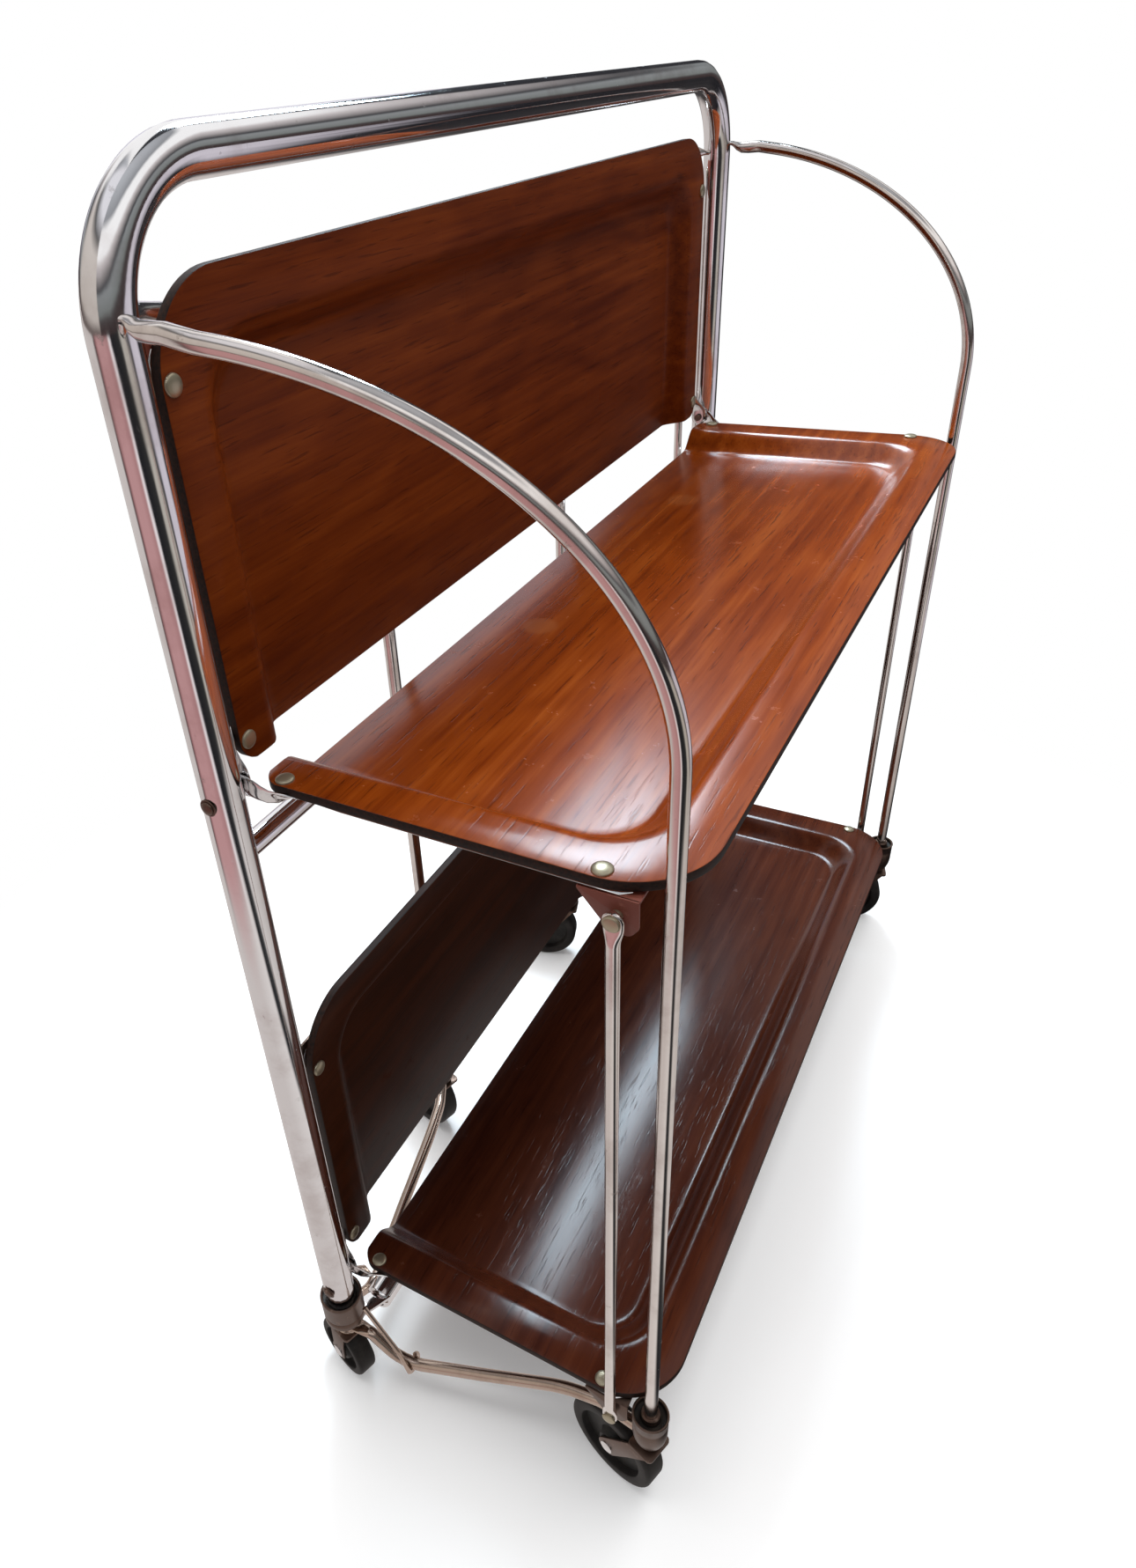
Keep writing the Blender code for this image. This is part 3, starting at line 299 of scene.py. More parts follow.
class Finish:
    """One node tree, with a method for each kind of node that is used more than once."""

    def __init__(self, owner):
        owner.use_nodes = True
        self.owner = owner
        self.tree = owner.node_tree

    def node(self, kind, sockets=None, output=0, **settings):
        """A new node, by its kind without the prefix; colours are given without alpha."""
        made = self.tree.nodes.new("ShaderNode" + kind)
        for key, value in settings.items():
            setattr(made, key, value)
        self.feed(made, sockets or {})
        return Socket(self, made.outputs[output])

    def feed(self, made, sockets):
        for key, value in sockets.items():
            socket = made.inputs[key]
            if isinstance(value, Socket):
                self.tree.links.new(value.socket, socket)
            elif socket.type == "RGBA":
                socket.default_value = (*value, 1)
            else:
                socket.default_value = value

    def place(self):
        return self.node("TexCoord", output="Object")

    def stretched(self, place, scale, turn=(0, 0, 0)):
        return self.node("Mapping", {"Vector": place, "Scale": scale, "Rotation": turn})

    def noise(self, place, scale, detail=4, rough=0.55):
        return self.node("TexNoise", {"Vector": place, "Scale": scale, "Detail": detail,
                                      "Roughness": rough})

    def ramp(self, value, *stops):
        """A colour ramp; each stop is a place from 0 to 1 and a colour."""
        made = self.node("ValToRGB", {0: value})
        elements = made.socket.node.color_ramp.elements
        while len(elements) < len(stops):
            elements.new(0.5)
        for element, (place, colour) in zip(elements, stops):
            element.position = place
            element.color = (*colour, 1)
        return made

    def mask(self, value, low, high):
        """A smooth step from 0 at low to 1 at high."""
        return self.node("MapRange", {0: value, 1: low, 2: high}, interpolation_type="SMOOTHSTEP")

    def mix(self, share, first, second):
        return self.node("Mix", {0: share, 6: first, 7: second}, output=2, data_type="RGBA")

    def bump(self, height, strength, distance):
        return self.node("Bump", {"Height": height, "Strength": strength, "Distance": distance})

    def surface(self, **sockets):
        names = {"colour": "Base Color", "rough": "Roughness", "metal": "Metallic",
                 "normal": "Normal", "coat": "Coat Weight", "coat_rough": "Coat Roughness",
                 "specular": "Specular IOR Level"}
        shader = self.tree.nodes["Principled BSDF"]
        self.feed(shader, {names[key]: value for key, value in sockets.items()})
        return self.owner

    def emission(self, colour, strength=1):
        return self.node("Emission", {"Color": colour, "Strength": strength})

    def diffuse(self, colour):
        return self.node("BsdfDiffuse", {"Color": colour})

    def mix_shaders(self, share, first, second):
        return self.node("MixShader", {0: share, 1: first, 2: second})

    def heading(self, vector):
        """Bearing, x and z of a vector."""
        x = self.node("SeparateXYZ", {0: vector})
        return x.maths("ARCTAN2", x.output(1), x), x, x.output(2)

    def ray_kinds(self):
        """Two masks: rays of the camera, and rays off glossy surfaces."""
        path = self.node("LightPath")
        return path.output("Is Camera Ray"), path.output("Is Glossy Ray")


def scaled(colour, times):
    return tuple(times * part for part in colour)


def lacquered_wood(name, deep, middle, light, sheen, gloss, stains=()):
    """Red-brown veneer with the grain along x, under a worn semi-gloss lacquer."""
    f = Finish(bpy.data.materials.new(name))
    place = f.place()
    wander = f.noise(f.stretched(place, (1.6, 7, 7)), 1, 3)
    rings = f.node("TexWave",
                   {"Vector": f.stretched(place, (0.35, 1, 1), (0.78, 0, 0)), "Scale": 9,
                    "Distortion": 16, "Detail": 3, "Detail Scale": 1.3,
                    "Detail Roughness": 0.6}, bands_direction="Y", wave_profile="SIN")
    streaks = f.noise(f.stretched(place, (4.5, 150, 150)), 1, 5, 0.66)
    pores = f.noise(f.stretched(place, (34, 620, 620)), 1, 2, 0.6)
    pore_mask = f.mask(pores, 0.58, 0.7)
    cloud = f.noise(place, 7, 3)
    tone = wander * 0.26 + rings * 0.08 + streaks * 0.56 + cloud * 0.1
    colour = f.ramp(tone, (0.34, deep), (0.52, middle), (0.7, light))
    colour = f.mix(pore_mask * 0.5, colour, scaled(deep, 0.45))
    wear = f.mask(f.noise(place, 55, 6, 0.7), 0.6, 0.74)
    colour = f.mix(wear * 0.16, colour, scaled(light, 1.5))
    for x, y, radius, strength in stains:
        away = f.node("VectorMath",
                      {0: f.stretched(place, (1, 1, 0)), 1: (x, y + MIDDLE.y, 0)},
                      output="Value", operation="DISTANCE")
        stain = 1 - f.mask(away, radius * 0.6, radius)
        colour = f.mix(stain * strength, colour, (0.3, 0.105, 0.035))
    scratch = f.noise(f.stretched(place, (90, 9, 9), (0, 0, 0.5)), 1, 2)
    scratch_mask = f.mask(scratch, 0.7, 0.74)
    rough = sheen + streaks * 0.1 + wear * 0.12 + cloud * 0.05
    height = streaks * 0.35 - pore_mask * 0.45 - scratch_mask * 0.3 + cloud * 0.3
    return f.surface(colour=colour, rough=rough, specular=gloss, coat=gloss * 0.5,
                     coat_rough=0.17, normal=f.bump(height, 0.35, 0.00022))


def plywood_edge(name):
    """Stained layers of the sheet's cut edge."""
    f = Finish(bpy.data.materials.new(name))
    layers = f.noise(f.stretched(f.place(), (14, 700, 700)), 1, 3)
    colour = f.ramp(layers, (0.35, (0.006, 0.003, 0.002)), (0.65, (0.03, 0.011, 0.006)))
    return f.surface(colour=colour, rough=0.5 + layers * 0.2, specular=0.25,
                     normal=f.bump(layers, 0.4, 0.0003))


def chromed(name, tint, dull, patina, base_rough):
    """Chromed steel with fine scratches, a dull bloom and brown spots."""
    f = Finish(bpy.data.materials.new(name))
    place = f.place()
    bloom = f.noise(place, 26, 5, 0.6)
    fine = f.noise(place, 420, 3, 0.7)
    scratches = f.noise(f.stretched(place, (700, 90, 90), (0.3, 0.9, 0.6)), 1, 2)
    scratch_mask = f.mask(scratches, 0.72, 0.76)
    spots = f.mask(f.noise(place, 95, 4, 0.75), 0.64, 0.72)
    colour = f.mix(f.mask(bloom, 0.45, 0.7) * 0.55, tint, dull)
    colour = f.mix(spots * patina, colour, (0.16, 0.1, 0.075))
    rough = (base_rough + f.mask(bloom, 0.4, 0.75) * 0.08 + scratch_mask * 0.14
             + spots * 0.2)
    height = scratch_mask * -0.4 + fine * 0.05 + bloom * 0.1
    return f.surface(colour=colour, metal=1, rough=rough, normal=f.bump(height, 0.2, 0.00008))


def painted(name, colour, worn, rough, metal=0, grain=130):
    """Sprayed paint, rubbed through at random places."""
    f = Finish(bpy.data.materials.new(name))
    place = f.place()
    cloud = f.noise(place, 30, 4, 0.6)
    orange_peel = f.noise(place, grain * 4, 2)
    rubbed = f.mask(f.noise(place, grain, 5, 0.72), 0.56, 0.7)
    shade = f.mix(cloud * 0.7, scaled(colour, 0.6), scaled(colour, 1.25))
    shade = f.mix(rubbed * 0.55, shade, worn)
    return f.surface(colour=shade, rough=rough + rubbed * 0.12 + cloud * 0.1, metal=metal,
                     normal=f.bump(orange_peel * 0.4 + rubbed * -0.5, 0.3, 0.00015))


def rubber(name, colour, dust, rough):
    """Hard rubber, greyed by floor dust."""
    f = Finish(bpy.data.materials.new(name))
    place = f.place()
    cloud = f.noise(place, 60, 5, 0.65)
    grit = f.noise(place, 900, 2)
    shade = f.mix(f.mask(cloud, 0.42, 0.72) * 0.8, colour, dust)
    return f.surface(colour=shade, rough=rough + cloud * 0.15, specular=0.25,
                     normal=f.bump(grit * 0.5 + cloud * 0.4, 0.3, 0.0002))


# by level and whether the wing is open: the veneer's deep, middle and light tone, then the lacquer;
# all four trays have the open tray's veneer, and the darker tones of the folded and lower trays are
# painted shade
TRAY_WOODS = {
    ("upper", True): lacquered_wood(
        "lacquered_wood_open_tray", (0.102, 0.014, 0.0012), (0.182, 0.032, 0.0024),
        (0.265, 0.06, 0.007), sheen=0.15, gloss=0.36,
        stains=((-0.084, -0.041, 0.013, 0.3), (0.151, -0.045, 0.014, 0.24))),
    # darker tones than the open tray: painted shade on the folded upper tray
    ("upper", False): lacquered_wood(
        "lacquered_wood_folded_tray_painted_shade", (0.08, 0.0105, 0.0006), (0.145, 0.0245, 0.0014),
        (0.215, 0.043, 0.0036), sheen=0.38, gloss=0.08),
    # much darker tones: painted shade under the upper tray
    ("lower", True): lacquered_wood(
        "lacquered_wood_lower_tray_painted_shade", (0.036, 0.0078, 0.004), (0.066, 0.015, 0.006),
        (0.095, 0.024, 0.009), sheen=0.12, gloss=0.27),
    # darkest tones: painted shade on the folded lower tray
    ("lower", False): lacquered_wood(
        "lacquered_wood_lower_folded_tray_painted_shade", (0.022, 0.005, 0.0012), (0.042, 0.0095, 0.0024),
        (0.062, 0.015, 0.004), sheen=0.38, gloss=0.08),
}
EDGE = plywood_edge("plywood_edge")
CHROME = chromed("chrome_handle_tube", tint=(0.86, 0.85, 0.86), dull=(0.62, 0.56, 0.55),
                 patina=0.2, base_rough=0.08)
ROD = chromed("chrome_thin_rod", tint=(0.8, 0.75, 0.72), dull=(0.52, 0.45, 0.42),
              patina=0.35, base_rough=0.12)
STRIP = chromed("chrome_flat_arm", tint=(0.82, 0.81, 0.81), dull=(0.55, 0.52, 0.5),
                patina=0.35, base_rough=0.1)
FOOT_ROD = chromed("chrome_foot_tube", tint=(0.55, 0.44, 0.37), dull=(0.33, 0.24, 0.19),
                   patina=0.55, base_rough=0.18)
PAINT = painted("brown_red_bracket_paint", (0.25, 0.062, 0.038), worn=(0.34, 0.12, 0.085),
                rough=0.42)
BRONZE = painted("bronzed_caster_metal", (0.165, 0.108, 0.084), worn=(0.36, 0.26, 0.21),
                 rough=0.3, metal=0.9, grain=170)
BRASS = painted("pale_brass_rivet", (0.52, 0.46, 0.33), worn=(0.3, 0.22, 0.13), rough=0.3,
                metal=0.85, grain=260)
TYRE = rubber("dark_rubber_tyre", (0.014, 0.012, 0.011), dust=(0.04, 0.034, 0.03), rough=0.5)
WEB = rubber("grey_brown_wheel_web", (0.022, 0.021, 0.019), dust=(0.06, 0.056, 0.05),
             rough=0.42)
# the cups' linings: a dark sleeve, drawn near black as painted shade in the hollow of the cup
SLEEVE_AND_SHADE = rubber("dark_cup_sleeve_and_painted_shade", (0.01, 0.008, 0.007), dust=(0.06, 0.045, 0.032), rough=0.4)
BRACKET_FINISHES = {"upper": PAINT, "lower": BRONZE}


# ---- modelling helpers ----
def piece(name, bm, finishes, body, node):
    """Merge double points, face outward and hand over."""
    bmesh.ops.remove_doubles(bm, verts=bm.verts, dist=MERGE)
    bmesh.ops.recalc_face_normals(bm, faces=bm.faces)
    finish_piece(name, bm, finishes, body, node, SHARP_FROM)


def finish_piece(name, bm, finishes, body, node, sharp):
    bmesh.ops.translate(bm, verts=bm.verts, vec=MIDDLE)
    obj = mesh_object(name, bm, finishes)
    obj.data.shade_smooth()
    obj.data.set_sharp_from_angle(angle=math.radians(sharp))
    hand_over(obj, body, node)
    return obj


def mesh_object(name, bm, finishes):
    mesh = bpy.data.meshes.new(name)
    bm.to_mesh(mesh)
    bm.free()
    for finish in finishes:
        mesh.materials.append(finish)
    return new_object(name, mesh)


def new_object(name, data):
    obj = bpy.data.objects.new(name, data)
    bpy.context.scene.collection.objects.link(obj)
    return obj


def hand_over(obj, body, node):
    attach(obj, body)
    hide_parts(node)


def tube_piece(name, lines, radius, finish, body, node):
    """Round tubes on smooth lines; each line comes with its share of the radius."""
    curve = bpy.data.curves.new(name, "CURVE")
    curve.dimensions = "3D"
    curve.bevel_depth = radius
    curve.bevel_resolution = 7
    curve.use_fill_caps = True
    for line, share in lines:
        spline = curve.splines.new("POLY")
        spline.points.add(len(line) - 1)
        for point, spot in zip(spline.points, line):
            point.co = (*(Vector(spot) + MIDDLE), 1)
            point.radius = share
        spline.use_smooth = True
    curve.materials.append(finish)
    hand_over(new_object(name, curve), body, node)


def eased(share):
    """A smooth step from 0 to 1."""
    share = min(max(share, 0), 1)
    return share * share * (3 - 2 * share)


def arc(first, last, steps):
    """Evenly spaced angles in radians, between two that are given in degrees."""
    return [math.radians(first + (last - first) * step / steps) for step in range(steps + 1)]


def quarter(steps):
    """Angles from 0 to a right angle."""
    return [math.pi / 2 * step / steps for step in range(steps + 1)]


def rounded(points, radii, steps):
    """Round the inner corners of a line of points."""
    points = [Vector(point) for point in points]
    line = [points[0]]
    for index in range(1, len(points) - 1):
        corner = points[index]
        back = points[index - 1] - corner
        ahead = points[index + 1] - corner
        angle = back.angle(ahead)
        cut = min(radii[index - 1] / math.tan(angle / 2), BEND_SHARE * back.length,
                  BEND_SHARE * ahead.length)
        radius = cut * math.tan(angle / 2)
        centre = corner + (back.normalized() + ahead.normalized()).normalized() * (
            radius / math.sin(angle / 2))
        first = corner + back.normalized() * cut - centre
        last = corner + ahead.normalized() * cut - centre
        turn = first.angle(last)
        for step in range(steps + 1):
            share = step / steps
            line.append(centre + (first * math.sin((1 - share) * turn)
                                  + last * math.sin(share * turn)) / math.sin(turn))
    line.append(points[-1])
    return line


def grown(bm, edges):
    """Extrude edges: the new vertices, and the new edges that join them."""
    parts = bmesh.ops.extrude_edge_only(bm, edges=edges)["geom"]
    fresh = [part for part in parts if isinstance(part, bmesh.types.BMVert)]
    return fresh, [part for part in parts if isinstance(part, bmesh.types.BMEdge)
                   and part.verts[0] in fresh and part.verts[1] in fresh]


def sweep(bm, stations, sides):
    """Draw an oval section along stations of (centre, half width, half height) vectors."""
    def station(centre, wide, high):
        along = wide.cross(high).normalized()
        turn = Matrix((wide, high, along)).transposed().to_4x4()
        return Matrix.Translation(centre) @ turn

    before = station(*stations[0])
    ring = list(bmesh.ops.create_circle(bm, segments=sides, radius=1.0)["verts"])
    bmesh.ops.transform(bm, matrix=before, verts=ring)
    edges = [edge for edge in bm.edges if edge.verts[0] in ring and edge.verts[1] in ring]
    caps = [list(edges)]
    for spot in stations[1:]:
        after = station(*spot)
        ring, edges = grown(bm, edges)
        bmesh.ops.transform(bm, matrix=after @ before.inverted(), verts=ring)
        before = after
    caps.append(edges)
    for loop in caps:
        bmesh.ops.contextual_create(bm, geom=loop)


def line_stations(line, tongue):
    """Stations of a bow tube along a line; its first end is pressed to a tongue."""
    line = [Vector(point) for point in line]
    stations = []
    run = 0
    high = UP
    for index, centre in enumerate(line):
        before = line[max(index - 1, 0)]
        after = line[min(index + 1, len(line) - 1)]
        along = (after - before).normalized()
        high = (high - along * high.dot(along)).normalized()
        wide = high.cross(along)
        run += (centre - before).length
        ease = eased((run - tongue.flat) / tongue.flare)
        bulge = tongue.bulge * math.sin(math.pi * ease)
        stations.append((centre, wide * (tongue.wide + (BOW_TUBE - tongue.wide) * ease + bulge),
                         high * (tongue.high + (BOW_TUBE - tongue.high) * ease)))
    return stations


def turned(bm, zones, centre, axis, steps):
    """Spin each zone, a profile of (radius, along) with a material number, about an axis."""
    axis = Vector(axis).normalized()
    side = axis.orthogonal().normalized()
    centre = Vector(centre)
    for profile, index in zones:
        spots = [bm.verts.new(centre + axis * along + side * radius) for radius, along in profile]
        edges = [bm.edges.new(pair) for pair in zip(spots, spots[1:])]
        known = set(bm.faces)
        bmesh.ops.spin(bm, geom=spots + edges, cent=centre, axis=axis, angle=math.tau,
                       steps=steps, use_merge=True)
        for face in bm.faces:
            if face not in known:
                face.material_index = index
    bmesh.ops.remove_doubles(bm, verts=bm.verts, dist=MERGE)


def mirrored(profile):
    """The same profile on the other side of the middle."""
    return [(radius, -along) for radius, along in profile]


def dome(radius, height, foot, steps=6):
    """Profile of a domed head from its rim to its top."""
    edge = 0.25
    return [(radius, foot)] + [
        (radius * math.cos(angle), foot + height * (edge + (1 - edge) * math.sin(angle)))
        for angle in quarter(steps)]


def plate(bm, outline, low, high, place, soft=SOFT_EDGE):
    """Extrude a flat outline between two levels and soften its edges."""
    known = set(bm.faces)
    base = bm.faces.new([bm.verts.new(place(p, q, low)) for p, q in outline])
    parts = bmesh.ops.extrude_face_region(bm, geom=[base])["geom"]
    lifted = [part for part in parts if isinstance(part, bmesh.types.BMVert)]
    lift = Vector(place(0, 0, high)) - Vector(place(0, 0, low))
    bmesh.ops.translate(bm, verts=lifted, vec=lift)
    bm.normal_update()
    fresh = {edge for face in bm.faces if face not in known for edge in face.edges}
    borders = [edge for edge in fresh
               if edge.is_manifold and edge.calc_face_angle() > math.radians(BEVEL_FROM)]
    bmesh.ops.bevel(bm, geom=borders, offset=soft, segments=2, profile=0.5, affect="EDGES",
                    material=-1)


# ---- places on the wings and bows ----
def wing_place(wing, is_open, hinge):
    """Places on a tray: along the handle, out from the hinge, up from the tray."""
    def place(x, out, lift):
        if is_open:
            return Vector((x, wing * out, hinge + lift))
        return Vector((x, -wing * lift, hinge + out))
    return place


def bow_place(side, wing, drawn_at, stands_at):
    """Places on a bow that is drawn at one angle from the frame and stands at another."""
    turn = stands_at - drawn_at

    def place(along, out, height):
        inboard = along * math.cos(turn) - out * math.sin(turn)
        outward = along * math.sin(turn) + out * math.cos(turn)
        return Vector((side * (POST_AT - inboard), wing * outward, height))
    return place


def caster_place(spot, side):
    """Places on a caster: behind its stem, sideways, up from the floor; and its axle."""
    ahead = Vector((-side * math.cos(TRAIL), math.sin(TRAIL), 0))
    across = Vector((ahead.y, -ahead.x, 0))

    def place(trail, sideways, height):
        return Vector((spot[0], spot[1], 0)) + ahead * trail + across * sideways + UP * height
    return place, across


# ---- frame ----
def build_frame():
    build_handle()
    build_lower_bar()
    for name, side in SIDES:
        bm = bmesh.new()
        # the lining inside the foot cup is near black: painted shade in the hollow round the post
        turned(bm, [(FOOT_CUP_SHELL, 0), (FOOT_CUP_LINING, 1)], (side * POST_AT, 0, 0), UP, 40)
        piece(f"{name}_foot_cup_shell", bm, [BRONZE, SLEEVE_AND_SHADE], "frame", f"{name}_foot_cup")
        for level, hinge in LEVELS:
            build_pin(f"{name}_{level}", side, hinge)


def build_handle():
    top = HANDLE_TOP - TUBE
    corners = [(-POST_AT, 0, POST_FOOT), (-POST_AT, 0, top), (POST_AT, 0, top),
               (POST_AT, 0, POST_FOOT)]
    bar = [(x, 0, UPPER_BAR_AT) for x in (-POST_AT, 0, POST_AT)]
    tube_piece("handle_frame_tube", [(rounded(corners, [HANDLE_BEND] * 2, 24), 1),
                                     (bar, UPPER_BAR / TUBE)],
               TUBE, CHROME, "frame", "main_frame")


def build_lower_bar():
    """Tube with rounded ends, and a flat tab with a round eye at each foot."""
    end = POST_AT - 2 * TUBE
    bm = bmesh.new()
    profile = [(LOWER_BAR * math.sin(angle), -end + LOWER_BAR / 2 * (1 - math.cos(angle)))
               for angle in quarter(6)]
    turned(bm, [(profile + mirrored(reversed(profile)), 0)], (0, *LOWER_BAR_AT), (1, 0, 0), 32)
    lean = LOWER_BAR_AT[0] / (POST_AT - end)
    outline = [(TAB_EYE * math.cos(turn), TAB_EYE * math.sin(turn)) for turn in arc(60, 300, 12)]
    outline += [(TAB_REACH, -TAB_HALF), (TAB_REACH, TAB_HALF)]
    for _, side in SIDES:
        def place(p, q, level, side=side):
            return Vector((side * (POST_AT - p), lean * p + q, level))

        plate(bm, outline, *TAB_LEVELS, place)
    piece("lower_crossbar_tube", bm, [CHROME], "frame", "lower_crossbar")


def build_pin(name, side, hinge):
    """Hinge pin: washer and domed head outside the post, shank inside it."""
    seat = POST_AT + TUBE
    washer = [(radius, seat + along) for radius, along in PIN_WASHER]
    shank = [(0, seat - PIN_SUNK), (PIN, seat - PIN_SUNK), (PIN, seat), *washer]
    head = [washer[-1], *dome(PIN_HEAD, PIN_HEAD_HIGH, washer[-1][1])]
    near, far = PIN_INNER_ENDS
    bm = bmesh.new()
    turned(bm, [(shank, 0), (head, 0)], (0, 0, hinge), (side, 0, 0), 28)
    turned(bm, [([(0, near), (PIN, near), (PIN, far), (0, far)], 0)], (0, 0, hinge),
           (side, 0, 0), 24)
    piece(f"{name}_pin_head", bm, [BRONZE], "frame", f"{name}_hinge_pin")


# ---- trays ----
def tray_line(inset):
    """Three sides of the tray at one inset, from one hinge corner round to the other."""
    share = min(inset / (LIP + COVE), 1)
    radius = TRAY_CORNER + (DISH_CORNER - TRAY_CORNER) * share
    half = TRAY_HALF - inset
    front = TRAY_DEEP - inset
    ear = EAR * max(1 - inset / EAR_FADE, 0)
    points = []
    for angle in quarter(6):
        share = angle / (math.pi / 2)
        points.append((half - ear + ear * (EAR_ROUND * math.sin(angle) + EAR_SLANT * share),
                       TRAY_BACK_EDGE + ear * (EAR_ROUND * (1 - math.cos(angle))
                                               + EAR_SLANT * share)))
    points += [(half - radius + radius * math.cos(angle), front - radius + radius * math.sin(angle))
               for angle in quarter(16)]
    return points + [(-x, y) for x, y in reversed(points)]


def build_tray(name, place, body, wood):
    """Lip, cove and floor grown inward from the rim's line, then given the sheet's thickness."""
    cove_steps = 10
    stations = [(EAR_FADE, 0), (LIP - COVE_EASE, 0)]
    for step in range(1, cove_steps + 1):
        share = step / cove_steps
        stations.append((LIP + COVE * share - COVE_SHIFT,
                         -DISH * (1 - math.cos(math.pi * share)) / 2))
    stations.append((LIP + COVE + COVE_EASE, -DISH))
    bm = bmesh.new()
    chain = [bm.verts.new(place(x, y, -RIM_BELOW_HINGE)) for x, y in tray_line(0)]
    edges = [bm.edges.new(pair) for pair in zip(chain, chain[1:])]
    for inset, drop in stations:
        fresh, edges = grown(bm, edges)
        chain = [next(edge.other_vert(old) for edge in old.link_edges
                      if edge.other_vert(old) in fresh) for old in chain]
        for vert, (x, y) in zip(chain, tray_line(inset)):
            vert.co = place(x, y, drop - RIM_BELOW_HINGE)
    edges.append(bm.edges.new((chain[0], chain[-1])))
    bmesh.ops.contextual_create(bm, geom=edges)
    bmesh.ops.remove_doubles(bm, verts=bm.verts, dist=2 * MERGE)
    bmesh.ops.recalc_face_normals(bm, faces=bm.faces)
    upward = place(0, 0, 1) - place(0, 0, 0)
    floor = max(bm.faces, key=lambda face: face.calc_area())
    if floor.normal.dot(upward) < 0:
        bmesh.ops.reverse_faces(bm, faces=bm.faces)
    obj = finish_piece(f"{name}_board", bm, [wood, EDGE], body, name,
                       PLY_SHARP_FROM)
    thick = obj.modifiers.new("sheet", "SOLIDIFY")
    thick.thickness = PLY
    thick.offset = -1
    thick.material_offset_rim = 1
    soft = obj.modifiers.new("softened_edges", "BEVEL")
    soft.width = PLY_SOFT
    soft.segments = 2
    soft.limit_method = "ANGLE"
    soft.angle_limit = math.radians(PLY_BEVEL_FROM)


def build_arm(name, place, side, wing, body):
    """Flattened chrome tube: eye on the hinge pin, twist, strip under the lip, two rivets."""
    web = ARM_WEB_AT[wing]
    under = -RIM_BELOW_HINGE - PLY - ARM_HALF
    level = place(side, 0, 0) - place(0, 0, 0)
    upward = place(0, 0, 1) - place(0, 0, 0)
    upright = math.pi / 2

    def oriented(out, across, lift, turn, wide, thick):
        flat = level * math.cos(turn) + upward * math.sin(turn)
        other = -level * math.sin(turn) + upward * math.cos(turn)
        return place(side * across, out, lift), flat * wide, other * thick

    stations = []
    for share in ARM_EYE_SHARES:
        if share < 0:
            wide = ARM_EYE * math.sqrt(1 - share * share)
        else:
            wide = ARM_EYE - (ARM_EYE - ARM_NECK) * share
        stations.append(oriented(ARM_EYE * share, web, 0, upright, wide, ARM_EYE_HALF))
    for step in range(1, ARM_TWIST_STEPS + 1):
        share = step / ARM_TWIST_STEPS
        ease = eased(share)
        stations.append(oriented(
            ARM_EYE + ARM_TWIST * share, web + (ARM_AT - web) * ease,
            -ARM_DROP * eased(share / ARM_DROP_SHARE) + (under + ARM_DROP) * ease,
            upright * (1 - ease), ARM_NECK + ARM_SWELL * math.sin(math.pi * share),
            ARM_EYE_HALF + (ARM_HALF - ARM_EYE_HALF) * share))
    stations += [oriented(out, ARM_AT, under, 0, wide, ARM_HALF) for out, wide in ARM_STRIP]
    bm = bmesh.new()
    sweep(bm, stations, 20)
    seat = -RIM_BELOW_HINGE
    rivet = [(0, under), (RIVET_SHANK, under), (RIVET_SHANK, seat),
             *dome(RIVET, RIVET_HIGH, seat, 8)]
    for out in RIVETS_OUT:
        turned(bm, [(rivet, 1)], place(side * RIVET_ACROSS, out, 0), upward, 32)
    piece(f"{name}_strip", bm, [STRIP, BRASS], body, name)


def build_bracket(name, place, side, body, finish):
    """Rounded triangle of pressed sheet with a flange under the arm and the link's pin."""
    top = -RIM_BELOW_HINGE - PLY - BRACKET_BELOW_PLY
    back, front = BRACKET_SPAN
    inner, outer = BRACKET_FLANGE
    bm = bmesh.new()

    def upright(p, q, level):
        return place(side * level, p, q)

    def flat(p, q, level):
        return place(side * p, q, level)

    web = rounded([(front, top, 0), (back, top, 0), (back, top - BRACKET_HEM, 0),
                   (BRACKET_NOSE[0], BRACKET_LOW, 0), (BRACKET_NOSE[1], BRACKET_LOW, 0),
                   (front, BRACKET_FRONT_LOW, 0), (front, top, 0)], BRACKET_BENDS, 5)
    plate(bm, [(spot.x, spot.y) for spot in web[:-1]], *BRACKET_WEB, upright)
    plate(bm, [(inner, back), (outer, back), (outer, front), (inner, front)], top - SHEET, top,
          flat)
    head = LINK_AT + LINK_PIN_CLEAR
    washer = [(radius, head + along) for radius, along in LINK_WASHER]
    pin = [(0, LINK_PIN_ROOT), (LINK_PIN, LINK_PIN_ROOT), (LINK_PIN, head), *washer,
           *dome(LINK_HEAD, LINK_HEAD_HIGH, washer[-1][1], 5)]
    turned(bm, [(pin, 1)], place(0, LINK_OUT, -LINK_BELOW), place(side, 0, 0) - place(0, 0, 0), 28)
    piece(f"{name}_plate", bm, [finish, BRASS], body, name)


def build_link(name, side, wing, is_open, body):
    """Rod with a flattened eye at each end."""
    low, high = (wing_place(wing, is_open, hinge)(side * LINK_AT, LINK_OUT, -LINK_BELOW)
                 for hinge in (LOWER_HINGE, UPPER_HINGE))
    stations = []
    for spot, way in ((low, 1), (high, -1)):
        part = []
        for share in LINK_EYE_SHARES:
            ease = eased((share - LINK_NECK_FROM) / LINK_NECK_LONG)
            wide = LINK_EYE + (LINK_ROD - LINK_EYE) * ease
            if share < 0:
                wide = LINK_EYE * math.sqrt(1 - share * share)
            thick = LINK_EYE_HALF + (LINK_ROD - LINK_EYE_HALF) * ease
            part.append((spot + UP * (way * share * LINK_EYE), Vector((0, wide, 0)),
                         Vector((-thick, 0, 0))))
        stations += part if way > 0 else part[::-1]
    bm = bmesh.new()
    sweep(bm, stations, 20)
    piece(f"{name}_drawn", bm, [ROD], body, name)


